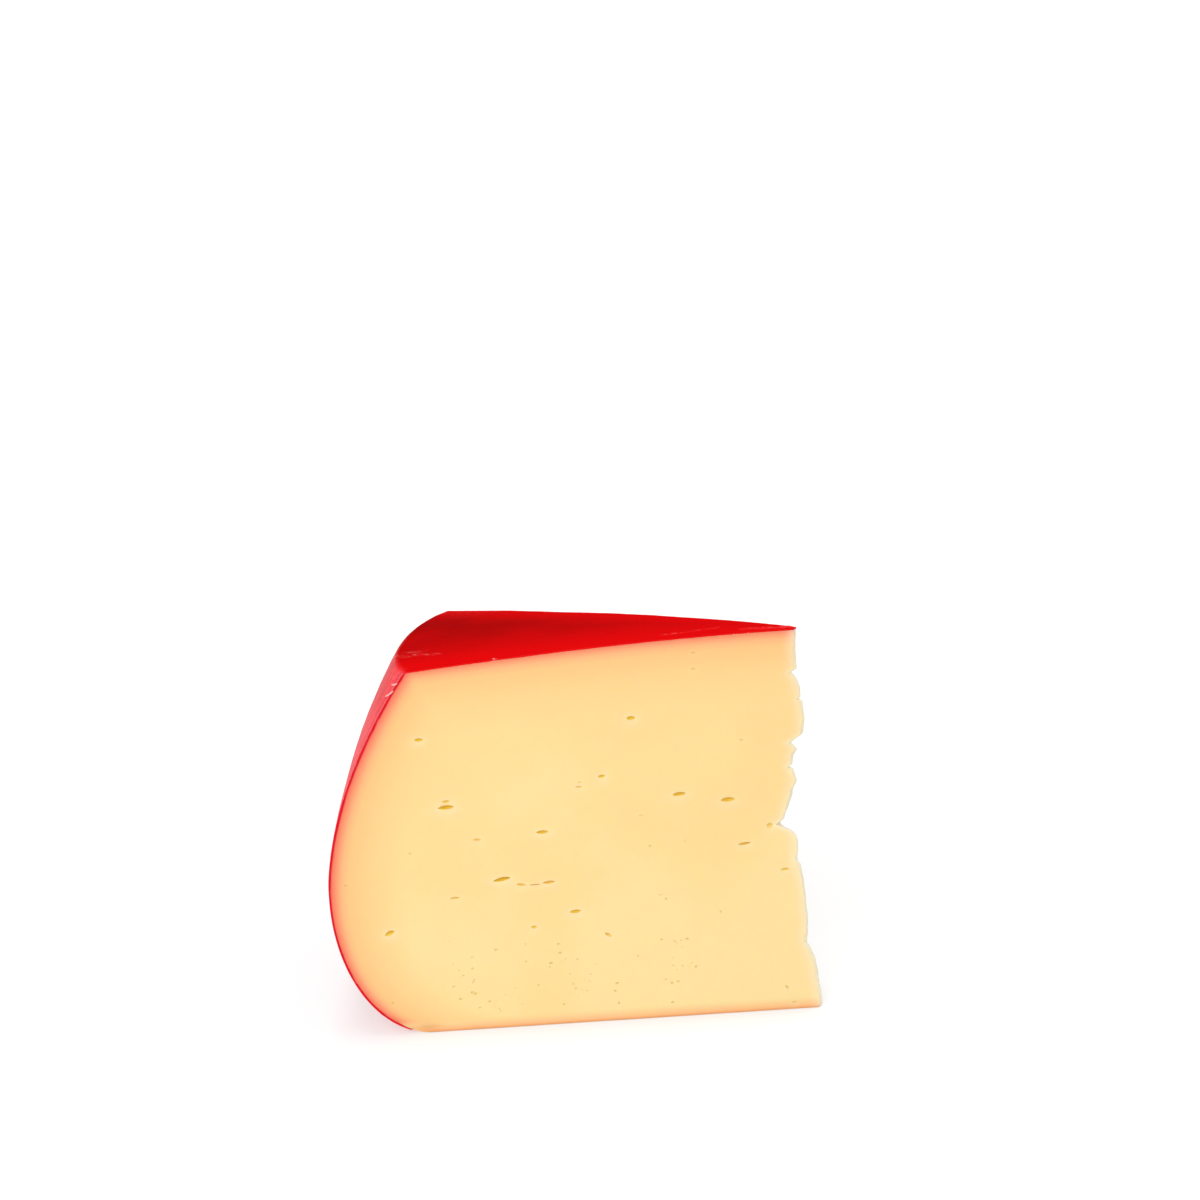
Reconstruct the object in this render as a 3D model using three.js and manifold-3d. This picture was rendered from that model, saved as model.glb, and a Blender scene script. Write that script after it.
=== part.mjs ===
// A hand-cut wedge of a coated wheel of semi-hard cheese, in millimetres, +Z up.
// It stands on the wheel's flat base. The front cut faces -Y, the rim bulges towards -X and
// the torn point is at +X. While it is made, the foot of the point is near X = 0, Y = 0.

import * as THREE from 'three';
import { mergeVertices } from 'three/addons/utils/BufferGeometryUtils.js';
import Module from 'manifold-3d';

// The whole wheel
const WHEEL_RADIUS = 150;
const BULGE_HEIGHT = 46; // where the rim is widest
const SHOULDER_HEIGHT = 110.4; // the edge of the top
const SHOULDER_INSET = 22.6; // from the widest place in to the shoulder
const SHOULDER_ROUNDING = 3;
const SIDE_POWER = 1.8; // how late the side turns in towards the shoulder
const FOOT_INSET = 28; // from the widest place in to the flat base
const CROWN_RISE = 10.2; // from the shoulder up to the middle of the top
const CROWN_POWER = 1.6;

// The rim keeps its own shape between the cuts and has slumped a little beside them
const SLUMP_LENGTH = 8; // along the rim, from a cut
const SHOULDER_SWELL = 1.5; // the shoulder stands out this much more between the cuts
const SWELL_FROM = 97; // height
const WAIST = 0.9; // and the side under it this much less
const WAIST_FROM = 55; // height

// The two cuts, which meet at the point and miss the wheel's axis
const WEDGE_ANGLE = THREE.MathUtils.degToRad(36);
const AXIS_PAST_POINT = 8.8;
const AXIS_BEHIND_CUT = 14.7;
const POINT_AT_FOOT = 9; // X of the line where the cuts meet, at the base
const POINT_AT_TOP = -2.5; // and at the top, as the second cut leans

// The break along the point: [height, X] of each nick, then how far the flake above it stands
// out and where up the flake that is, as a share of its height
const NICKS = [
  [-2, 7.0, 0.1, 0.5],
  [9.6, 5.0, 1.1, 0.5],
  [23.4, 0.9, 0.7, 0.35],
  [46.4, -1.3, 0, 0.5],
  [47.4, -3.6, 4.2, 0.75],
  [59.6, -9.0, 2.5, 0.6],
  [78.8, -6.1, 1.7, 0.7],
  [86.2, -6.3, 2.9, 0.35],
  [98.0, -3.9, 1.7, 0.6],
  [107.2, -6.8, 1.1, 0.25],
  [127, -5.6, 0, 0.5],
];
const FLAKE_ROUNDNESS = 0.6; // 1 is a parabola, and less is blunter
const NICK_DIP = 0.35; // how steeply the nicks run down into the break
const LIP = 1.3; // the break's edge is rounded back by this much towards the front cut
const LIP_DEPTH = 2;
const BREAK_SLANT = 0.25; // how steeply the break falls back behind its lip
const BREAK_DEEP = 12; // the furthest that it reaches from the front cut
const GRAIN = 0.12; // how rough it is
const GRAIN_LENGTH = 4;

// Eyes in the front cut: [X, height, width, opening, tilt in degrees]
const FRONT_EYES = [
  [-53.6, 95.1, 2.6, 1.1, 0],
  [-114.6, 91.0, 2.8, 1.1, 0],
  [-62.3, 77.9, 2.3, 1.0, 4],
  [-68.8, 75.4, 2.0, 1.0, -20],
  [-39.3, 71.3, 3.6, 1.1, -4],
  [-24.6, 69.0, 4.1, 1.2, 2],
  [-107.2, 71.1, 4.9, 1.9, 0],
  [-79.6, 61.5, 3.4, 1.1, 4],
  [-98.8, 60.0, 2.1, 0.9, 0],
  [-19.5, 54.6, 4.0, 1.1, 6],
  [-91.5, 47.4, 5.3, 1.2, 10],
  [-77.7, 45.4, 3.2, 1.1, -6],
  [-105.0, 42.2, 2.6, 0.9, 0],
  [-70.1, 36.1, 3.0, 1.0, 0],
  [-82.3, 31.7, 2.0, 0.9, 0],
  [-60.2, 27.8, 2.6, 1.0, -32],
  [-124.4, 32.4, 2.9, 1.2, 26],
];

// Eyes in the second cut, where they lie by a seeded draw
const BACK_EYES = 17;
const BACK_EYE_SEED = 7;
const BACK_EYES_ALONG = [14, 132]; // from the point
const BACK_EYE_HEIGHTS = [12, 100];
const BACK_EYE_WIDTHS = [2, 4.8];
const BACK_EYE_OPENINGS = [1, 1.4];
const BACK_EYE_TILTS = [-20, 20];

const EYE_DEPTH = 0.45; // as a share of its width
const EYE_SINK = 0.15; // how far its middle lies under the cut, as a share of its depth

// How finely it is faceted
const RIM_STEPS = 180; // round the whole wheel
const SIDE_STEPS = 14;
const FOOT_STEPS = 9;
const CROWN_STEPS = 14;
const ROUNDING_STEPS = 4;
const FLAKE_STEPS = 9; // up each flake of the break
const BREAK_DEPTH_STEPS = 12;
const EYE_STEPS = 8;

const COAT_COLOUR = new THREE.Color('#c4060c');
const PASTE_COLOUR = new THREE.Color('#fdd995');

const SHOULDER_RADIUS = WHEEL_RADIUS - SHOULDER_INSET;
const MUCH = 400; // longer than anything here, for what is cut away
const CLEAR = 0.7; // how far a cutter starts outside the cheese

const wasm = await Module();
wasm.setup();

// Geometry to solid, and back

function solidOf(geometry) {
  const bare = geometry.clone();
  bare.deleteAttribute('normal');
  bare.deleteAttribute('uv');
  const merged = mergeVertices(bare);
  return new wasm.Manifold(new wasm.Mesh({
    numProp: 3,
    vertProperties: merged.getAttribute('position').array,
    triVerts: new Uint32Array(merged.index.array),
  }));
}

function geometryOf(solid) {
  const mesh = solid.getMesh();
  const geometry = new THREE.BufferGeometry();
  geometry.setAttribute('position', new THREE.BufferAttribute(mesh.vertProperties, 3));
  geometry.setIndex(new THREE.BufferAttribute(mesh.triVerts, 1));
  return geometry;
}

// The wheel

function sideRadius(height) {
  if (height >= BULGE_HEIGHT) {
    const share = (height - BULGE_HEIGHT) / (SHOULDER_HEIGHT - BULGE_HEIGHT);
    return WHEEL_RADIUS - SHOULDER_INSET * share ** SIDE_POWER;
  }
  const share = (BULGE_HEIGHT - height) / BULGE_HEIGHT;
  return WHEEL_RADIUS - FOOT_INSET * (1 - Math.sqrt(1 - share ** 2));
}

function crownHeight(radius) {
  return SHOULDER_HEIGHT + CROWN_RISE * (1 - (radius / SHOULDER_RADIUS) ** CROWN_POWER);
}

// The outline from the middle of the base round to the middle of the top, as [radius, height].
function wheelOutline() {
  const outline = [new THREE.Vector2(0, 0)];
  for (let i = 0; i <= FOOT_STEPS; i++) {
    const turn = (i / FOOT_STEPS) * (Math.PI / 2);
    const radius = WHEEL_RADIUS - FOOT_INSET * (1 - Math.sin(turn));
    outline.push(new THREE.Vector2(radius, BULGE_HEIGHT * (1 - Math.cos(turn))));
  }
  const sideEnd = SHOULDER_HEIGHT - SHOULDER_ROUNDING;
  for (let i = 1; i <= SIDE_STEPS; i++) {
    const height = BULGE_HEIGHT + (sideEnd - BULGE_HEIGHT) * (i / SIDE_STEPS);
    outline.push(new THREE.Vector2(sideRadius(height), height));
  }
  const crownStart = SHOULDER_RADIUS - SHOULDER_ROUNDING;
  const rounding = new THREE.QuadraticBezierCurve(
    outline.at(-1),
    new THREE.Vector2(SHOULDER_RADIUS, SHOULDER_HEIGHT),
    new THREE.Vector2(crownStart, crownHeight(crownStart)),
  );
  outline.push(...rounding.getPoints(ROUNDING_STEPS).slice(1));
  for (let i = 1; i <= CROWN_STEPS; i++) {
    const radius = crownStart * (1 - i / CROWN_STEPS);
    outline.push(new THREE.Vector2(radius, crownHeight(radius)));
  }
  return outline;
}

// Where the rim meets the two cuts, as turns about the wheel's axis from -X towards +Y.
const FRONT_TURN = -Math.asin(AXIS_BEHIND_CUT / WHEEL_RADIUS);
const BACK_TURN = FRONT_TURN + WEDGE_ANGLE;

// How much further out the rim is between the cuts than beside them.
function swell(height) {
  if (height >= SWELL_FROM) {
    const share = Math.min((height - SWELL_FROM) / (SHOULDER_HEIGHT - SWELL_FROM), 1);
    return SHOULDER_SWELL * share;
  }
  const share = THREE.MathUtils.clamp((height - WAIST_FROM) / (SWELL_FROM - WAIST_FROM), 0, 1);
  return -WAIST * Math.sin(share * Math.PI);
}

function slumpBesideCuts(geometry) {
  const at = geometry.getAttribute('position');
  for (let i = 0; i < at.count; i++) {
    const radius = Math.hypot(at.getX(i), at.getY(i));
    const turn = Math.atan2(at.getY(i), -at.getX(i));
    if (radius === 0 || turn < FRONT_TURN || turn > BACK_TURN) continue;
    const fromCut = Math.min(turn - FRONT_TURN, BACK_TURN - turn) * WHEEL_RADIUS;
    const share = (1 - Math.exp(-fromCut / SLUMP_LENGTH)) * Math.min(radius / SHOULDER_RADIUS, 1) ** 6;
    const scale = 1 + (swell(at.getZ(i)) * share) / radius;
    at.setXY(i, at.getX(i) * scale, at.getY(i) * scale);
  }
  return geometry;
}

function wheel() {
  const geometry = new THREE.LatheGeometry(wheelOutline(), RIM_STEPS);
  geometry.rotateX(Math.PI / 2);
  slumpBesideCuts(geometry);
  return geometry.translate(AXIS_PAST_POINT, AXIS_BEHIND_CUT, 0);
}

// What the two knife cuts take away

const TOP = SHOULDER_HEIGHT + CROWN_RISE;
const POINT_FOOT = new THREE.Vector3(POINT_AT_FOOT, 0, 0);
const POINT_LINE = new THREE.Vector3(POINT_AT_TOP - POINT_AT_FOOT, 0, TOP);

// Stands a shape that was made on the plane Y = 0 on the second cut, with +X still towards the
// point and +Y still out of the cheese.
function ontoBackCut(geometry) {
  const toPoint = new THREE.Vector3(Math.cos(WEDGE_ANGLE), -Math.sin(WEDGE_ANGLE), 0);
  const outwards = new THREE.Vector3().crossVectors(POINT_LINE, toPoint).normalize();
  const up = new THREE.Vector3().crossVectors(toPoint, outwards);
  const turn = new THREE.Matrix4().makeBasis(toPoint, outwards, up);
  return geometry.applyMatrix4(turn.setPosition(POINT_FOOT));
}

function beforeFrontCut() {
  return new THREE.BoxGeometry(MUCH, MUCH, MUCH).translate(0, -MUCH / 2, 0);
}

function behindBackCut() {
  return ontoBackCut(new THREE.BoxGeometry(MUCH, MUCH, MUCH).translate(0, MUCH / 2, 0));
}

// The break along the point

// Height and X of the break's edge, at a share of the way up one of its flakes.
function breakEdge(flake, share) {
  const [low, lowX, stand, peak] = NICKS[flake];
  const [high, highX] = NICKS[flake + 1];
  const turned = share ** (Math.log(0.5) / Math.log(peak));
  const bulge = stand * (4 * turned * (1 - turned)) ** FLAKE_ROUNDNESS;
  return [low + (high - low) * share, lowX + (highX - lowX) * share + bulge];
}

function grain(depth, height) {
  const a = (2 * Math.PI * height) / GRAIN_LENGTH;
  const b = (2 * Math.PI * depth) / GRAIN_LENGTH;
  return GRAIN * (Math.sin(a * 0.73 + b * 0.9) + Math.sin(a * 0.41 - b * 1.3 + 2) * Math.sin(a * 0.17));
}

// How far the break lies behind its edge.
function fallBack(depth) {
  const lip = LIP * Math.max(1 - depth / LIP_DEPTH, 0) ** 2;
  return lip + BREAK_SLANT * Math.max(depth - LIP_DEPTH, 0);
}

// A block from the break outwards, with one row of corners on every nick.
function pastBreak() {
  const rows = (NICKS.length - 1) * FLAKE_STEPS;
  const block = new THREE.BoxGeometry(MUCH, BREAK_DEEP + CLEAR, rows, 1, BREAK_DEPTH_STEPS, rows);
  block.translate(MUCH / 2, (BREAK_DEEP - CLEAR) / 2, rows / 2);
  const at = block.getAttribute('position');
  for (let i = 0; i < at.count; i++) {
    const row = Math.round(at.getZ(i));
    const flake = Math.min(Math.floor(row / FLAKE_STEPS), NICKS.length - 2);
    const [height, edge] = breakEdge(flake, row / FLAKE_STEPS - flake);
    const depth = at.getY(i);
    at.setZ(i, height - NICK_DIP * depth);
    if (at.getX(i) < MUCH / 2) at.setX(i, edge - fallBack(depth) + grain(depth, height));
  }
  return block;
}

// Eyes, the small flat holes that the gas left

// A lens of the given width and opening, its middle on the origin and its depth along Y.
function eye(width, opening, tilt) {
  const lens = new THREE.SphereGeometry(0.5, EYE_STEPS, EYE_STEPS - 2).rotateZ(Math.PI / 2);
  lens.scale(width, width * EYE_DEPTH * 2, opening);
  return lens.rotateY(-THREE.MathUtils.degToRad(tilt));
}

function frontEyes() {
  return FRONT_EYES.map(([x, height, width, opening, tilt]) =>
    eye(width, opening, tilt).translate(x, width * EYE_DEPTH * EYE_SINK, height));
}

// A repeatable draw from 0 to 1.
function drawer(seed) {
  let state = seed;
  return () => {
    state = (state * 48271) % 2147483647;
    return state / 2147483647;
  };
}

function backEyes() {
  const draw = drawer(BACK_EYE_SEED);
  const between = ([low, high]) => low + draw() * (high - low);
  const [first, last] = BACK_EYES_ALONG;
  const spacing = (last - first) / BACK_EYES;
  return Array.from({ length: BACK_EYES }, (_, i) => {
    const along = -first - (i + draw()) * spacing;
    const height = between(BACK_EYE_HEIGHTS);
    const width = between(BACK_EYE_WIDTHS);
    const shape = eye(width, between(BACK_EYE_OPENINGS), between(BACK_EYE_TILTS));
    return ontoBackCut(shape.translate(along, -width * EYE_DEPTH * EYE_SINK, height));
  });
}

// The wedge

function wedge() {
  let solid = solidOf(wheel());
  for (const away of [beforeFrontCut(), behindBackCut(), pastBreak(), ...frontEyes(), ...backEyes()]) {
    solid = solid.subtract(solidOf(away));
  }
  return geometryOf(solid);
}

// Whether a place is on the coated outside of the wheel and not on a cut, in an eye or on the break.
function isCoated(place) {
  const near = 0.4;
  const radius = Math.hypot(place.x - AXIS_PAST_POINT, place.y - AXIS_BEHIND_CUT);
  if (place.z < near / 10) return true;
  if (radius < SHOULDER_RADIUS - near) return place.z > crownHeight(radius) - near;
  return place.z > SHOULDER_HEIGHT - near || radius > sideRadius(place.z) + swell(place.z) - WAIST - near;
}

function painted(geometry) {
  const faces = geometry.toNonIndexed();
  const at = faces.getAttribute('position');
  const colours = new Float32Array(at.count * 3);
  const corners = [new THREE.Vector3(), new THREE.Vector3(), new THREE.Vector3()];
  for (let i = 0; i < at.count; i += 3) {
    corners.forEach((corner, j) => corner.fromBufferAttribute(at, i + j));
    const colour = corners.every(isCoated) ? COAT_COLOUR : PASTE_COLOUR;
    for (let j = 0; j < 3; j++) colour.toArray(colours, (i + j) * 3);
  }
  faces.setAttribute('color', new THREE.BufferAttribute(colours, 3));
  faces.computeVertexNormals();
  return faces;
}

function cheeseWedge() {
  const material = new THREE.MeshStandardMaterial({ vertexColors: true, roughness: 0.45, metalness: 0 });
  const mesh = new THREE.Mesh(painted(wedge()), material);
  mesh.name = 'cheese_wedge';
  return mesh;
}

const mesh = cheeseWedge();

// The part's origin is under the middle of its box.
const box = new THREE.Box3().setFromObject(mesh);
const middle = box.getCenter(new THREE.Vector3());
mesh.position.set(-middle.x, -middle.y, -box.min.z);

const cheese = new THREE.Group();
cheese.add(mesh);

export default cheese;
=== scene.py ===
"""A hand-cut wedge of red-waxed semi-hard cheese on a white table.

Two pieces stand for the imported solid: the paste, with its eyes, pinholes and torn point, and the
thin wax rind on the outside of the wheel. The wedge stands on the wheel's flat base, its front cut
faces -Y, the rim bulges towards -X and the torn point is at +X. Everything is in metres.
"""

from __future__ import annotations

import logging
import math
from contextlib import contextmanager
from dataclasses import dataclass, field
from enum import Enum
from typing import Iterator, Sequence

import bpy
import numpy as np
from mathutils import Matrix, Vector, noise


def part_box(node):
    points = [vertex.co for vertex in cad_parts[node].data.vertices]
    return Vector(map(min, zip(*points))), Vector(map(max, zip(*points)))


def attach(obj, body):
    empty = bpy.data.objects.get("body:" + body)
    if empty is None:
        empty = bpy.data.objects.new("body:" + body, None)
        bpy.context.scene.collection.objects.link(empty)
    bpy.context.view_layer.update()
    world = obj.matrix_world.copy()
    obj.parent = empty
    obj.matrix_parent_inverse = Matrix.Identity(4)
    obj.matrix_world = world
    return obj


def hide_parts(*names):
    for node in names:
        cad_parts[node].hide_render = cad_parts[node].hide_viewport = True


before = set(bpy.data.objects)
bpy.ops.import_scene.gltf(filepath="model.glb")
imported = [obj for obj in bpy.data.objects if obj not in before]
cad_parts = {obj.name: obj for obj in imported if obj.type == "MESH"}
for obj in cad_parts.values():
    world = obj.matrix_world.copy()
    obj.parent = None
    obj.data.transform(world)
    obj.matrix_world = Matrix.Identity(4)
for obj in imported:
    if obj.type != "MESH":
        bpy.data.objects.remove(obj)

LOG = logging.getLogger("cheese")
NODE = "cheese_wedge"
MM = 0.001
# How fast the finer lumps of the random fields get lower and smaller, and how far apart two fields lie
LUMP_FADE = 0.9
LUMP_STEP = 2.1
FIELD_STEP = (17.3, -9.1, 5.7)
# How far a closed mesh's corners may lie apart and still be one
SAME_PLACE = 0.001 * MM

Array = np.ndarray
Values = dict[str | int, object]
SOFT: Values = {"interpolation_type": "SMOOTHSTEP"}
COLOURS: Values = {"data_type": "RGBA"}


# Tools of the workshop


def linear(colour: str) -> tuple[float, float, float, float]:
    """Turns an sRGB colour into the linear values that shaders take.

    Args:
        colour: Six hex digits after a hash sign.

    Returns:
        Linear red, green, blue and an alpha of 1.
    """
    parts = [int(colour[i:i + 2], 16) / 255 for i in (1, 3, 5)]
    red, green, blue = [p / 12.92 if p <= 0.04045 else ((p + 0.055) / 1.055) ** 2.4 for p in parts]
    return red, green, blue, 1.0


def add_node(tree: bpy.types.NodeTree, kind: str, settings: Values, inputs: Values) -> bpy.types.Node:
    """Adds one node to a shader.

    Args:
        tree: The shader's nodes.
        kind: The node's type, without the ShaderNode that they all start with.
        settings: Properties of the node, by name.
        inputs: What each input gets, by name or index: a value, another node's output, or a node, which
            stands for its first output.

    Returns:
        The new node.
    """
    node = tree.nodes.new("ShaderNode" + kind)
    for name, value in settings.items():
        setattr(node, name, value)
    for name, value in inputs.items():
        if isinstance(value, bpy.types.Node):
            value = value.outputs[0]
        if isinstance(value, bpy.types.NodeSocket):
            tree.links.new(value, node.inputs[name])
        else:
            node.inputs[name].default_value = value
    return node


def set_stops(ramp: bpy.types.Node, stops: Sequence[tuple[float, str]]) -> None:
    """Sets the colours of a colour ramp.

    Args:
        ramp: The ramp's node.
        stops: Places from 0 to 1 and the colours there, in order.
    """
    marks = ramp.color_ramp.elements
    for mark, (at, colour) in ((marks[0], stops[0]), (marks[1], stops[-1])):
        mark.position = at
        mark.color = linear(colour)
    for at, colour in stops[1:-1]:
        marks.new(at).color = linear(colour)


def layered(tree: bpy.types.NodeTree, colour: bpy.types.NodeSocket,
            layers: Sequence[tuple[object, str]]) -> bpy.types.NodeSocket:
    """Lays tints over a colour, one after the other.

    Args:
        tree: The material's nodes.
        colour: The lowest colour.
        layers: How much of each tint shows, and the tint.

    Returns:
        The colour on top.
    """
    for amount, tint in layers:
        colour = add_node(tree, "Mix", COLOURS, {"Factor": amount, 6: colour, 7: linear(tint)}).outputs[2]
    return colour


def start_material(
    name: str, constants: Values,
) -> tuple[bpy.types.Material, bpy.types.NodeTree, bpy.types.Node, bpy.types.NodeSocket]:
    """Starts a material.

    Args:
        name: The real material's name.
        constants: The shader's inputs that are the same all over, by name.

    Returns:
        The material, its nodes, its shader and the places on the object.
    """
    material = bpy.data.materials.new(name)
    material.use_nodes = True
    tree = material.node_tree
    shader = tree.nodes["Principled BSDF"]
    for socket, value in constants.items():
        shader.inputs[socket].default_value = value
    return material, tree, shader, add_node(tree, "TexCoord", {}, {}).outputs["Object"]


def select_only(piece: bpy.types.Object) -> None:
    """Makes a piece the only selected object, and the active one.

    Args:
        piece: The object to work on.
    """
    bpy.ops.object.select_all(action="DESELECT")
    piece.select_set(True)
    bpy.context.view_layer.objects.active = piece


@contextmanager
def editing(piece: bpy.types.Object, select_all: bool = True) -> Iterator[None]:
    """Opens a piece in edit mode and closes it again.

    Args:
        piece: The object to edit.
        select_all: Whether all of it is selected, or what was selected before.
    """
    select_only(piece)
    bpy.ops.object.mode_set(mode="EDIT")
    if select_all:
        bpy.ops.mesh.select_all(action="SELECT")
    yield
    bpy.ops.object.mode_set(mode="OBJECT")


def apply_modifier(piece: bpy.types.Object, kind: str, **settings: object) -> None:
    """Adds a modifier to a piece and applies it.

    Args:
        piece: The object that it changes.
        kind: The modifier's type.
        settings: Its properties, by name.
    """
    select_only(piece)
    modifier = piece.modifiers.new(kind.lower(), kind)
    for name, value in settings.items():
        setattr(modifier, name, value)
    bpy.ops.object.modifier_apply(modifier=modifier.name)


def carve(piece: bpy.types.Object, tool: bpy.types.Object) -> None:
    """Cuts a closed tool out of a closed piece and throws the tool away."""
    apply_modifier(piece, "BOOLEAN", operation="DIFFERENCE", solver="MANIFOLD", object=tool)
    bpy.data.objects.remove(tool)


def draw_out(sheet: bpy.types.Object, move: tuple[float, float, float]) -> None:
    """Draws a sheet out into a closed block.

    Args:
        sheet: The sheet, which becomes one end of the block.
        move: The way from that end to the other.
    """
    with editing(sheet):
        bpy.ops.mesh.extrude_region_move(TRANSFORM_OT_translate={"value": move})
        bpy.ops.mesh.select_all(action="SELECT")
        bpy.ops.mesh.normals_make_consistent(inside=False)


def join(pieces: Sequence[bpy.types.Object]) -> bpy.types.Object:
    """Joins pieces into the first of them.

    Args:
        pieces: The objects to join.

    Returns:
        The joined object.
    """
    select_only(pieces[0])
    for piece in pieces:
        piece.select_set(True)
    bpy.ops.object.join()
    return pieces[0]


def settle(piece: bpy.types.Object, name: str) -> bpy.types.Object:
    """Names a piece and puts its place, turn and size into its mesh.

    Args:
        piece: The object to settle.
        name: Its name.

    Returns:
        The same object.
    """
    select_only(piece)
    bpy.ops.object.transform_apply(location=True, rotation=True, scale=True)
    piece.name = name
    piece.data.name = name
    return piece


def points_of(piece: bpy.types.Object) -> Array:
    """Reads a mesh's vertices.

    Args:
        piece: The mesh object.

    Returns:
        One row of X, Y and Z for each vertex.
    """
    flat = np.empty(len(piece.data.vertices) * 3)
    piece.data.vertices.foreach_get("co", flat)
    return flat.reshape(-1, 3)


def move_points(piece: bpy.types.Object, points: Array) -> None:
    """Puts a mesh's vertices in new places, one row of X, Y and Z for each."""
    piece.data.vertices.foreach_set("co", points.ravel())
    piece.data.update()


def paint(piece: bpy.types.Object, name: str, values: Array) -> None:
    """Stores one number for each vertex under a name, for the material to read."""
    attribute = piece.data.attributes.new(name, "FLOAT", "POINT")
    attribute.data.foreach_set("value", values.astype(np.float32))


def wear(piece: bpy.types.Object, material: bpy.types.Material, sharp: float) -> None:
    """Gives a piece its material and shades it smoothly.

    Args:
        piece: The mesh object.
        material: Its material.
        sharp: The least angle of an edge that stays sharp, in degrees.
    """
    piece.data.materials.clear()
    piece.data.materials.append(material)
    select_only(piece)
    bpy.ops.object.shade_smooth_by_angle(angle=math.radians(sharp))


def rough(points: Array, grain: float | tuple[float, ...], seed: float, octaves: int = 3) -> Array:
    """Draws smooth random numbers for places in space, the same ones on each run.

    Args:
        points: One row of X, Y and Z for each place.
        grain: The size of one lump, in metres, or one size for each axis.
        seed: Which of the endless fields of lumps to take.
        octaves: How many finer fields are laid over the first.

    Returns:
        One number for each place, roughly from -1 to 1.
    """
    shift = Vector([seed * step for step in FIELD_STEP])
    scaled = points / np.broadcast_to(np.asarray(grain, dtype=float), 3)
    return np.array([noise.fractal(Vector(p) + shift, LUMP_FADE, LUMP_STEP, octaves) for p in scaled])


class Draw:
    """A repeatable draw of numbers, the same one that places the eyes of the solid."""

    FACTOR = 48271
    MODULUS = 2147483647

    def __init__(self, seed: int) -> None:
        """Starts the draw.

        Args:
            seed: Where it starts.
        """
        self.state = seed

    def share(self) -> float:
        """Draws a number from 0 to 1."""
        self.state = (self.state * self.FACTOR) % self.MODULUS
        return self.state / self.MODULUS

    def between(self, low: float, high: float) -> float:
        """Draws a number from low to high."""
        return low + self.share() * (high - low)


# The wheel and how it was cut


@dataclass(frozen=True)
class Coat:
    """How thick the wax lies on each side of the wheel."""

    side: float = 0.50 * MM
    top: float = 0.28 * MM
    base: float = 0.08 * MM


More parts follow.
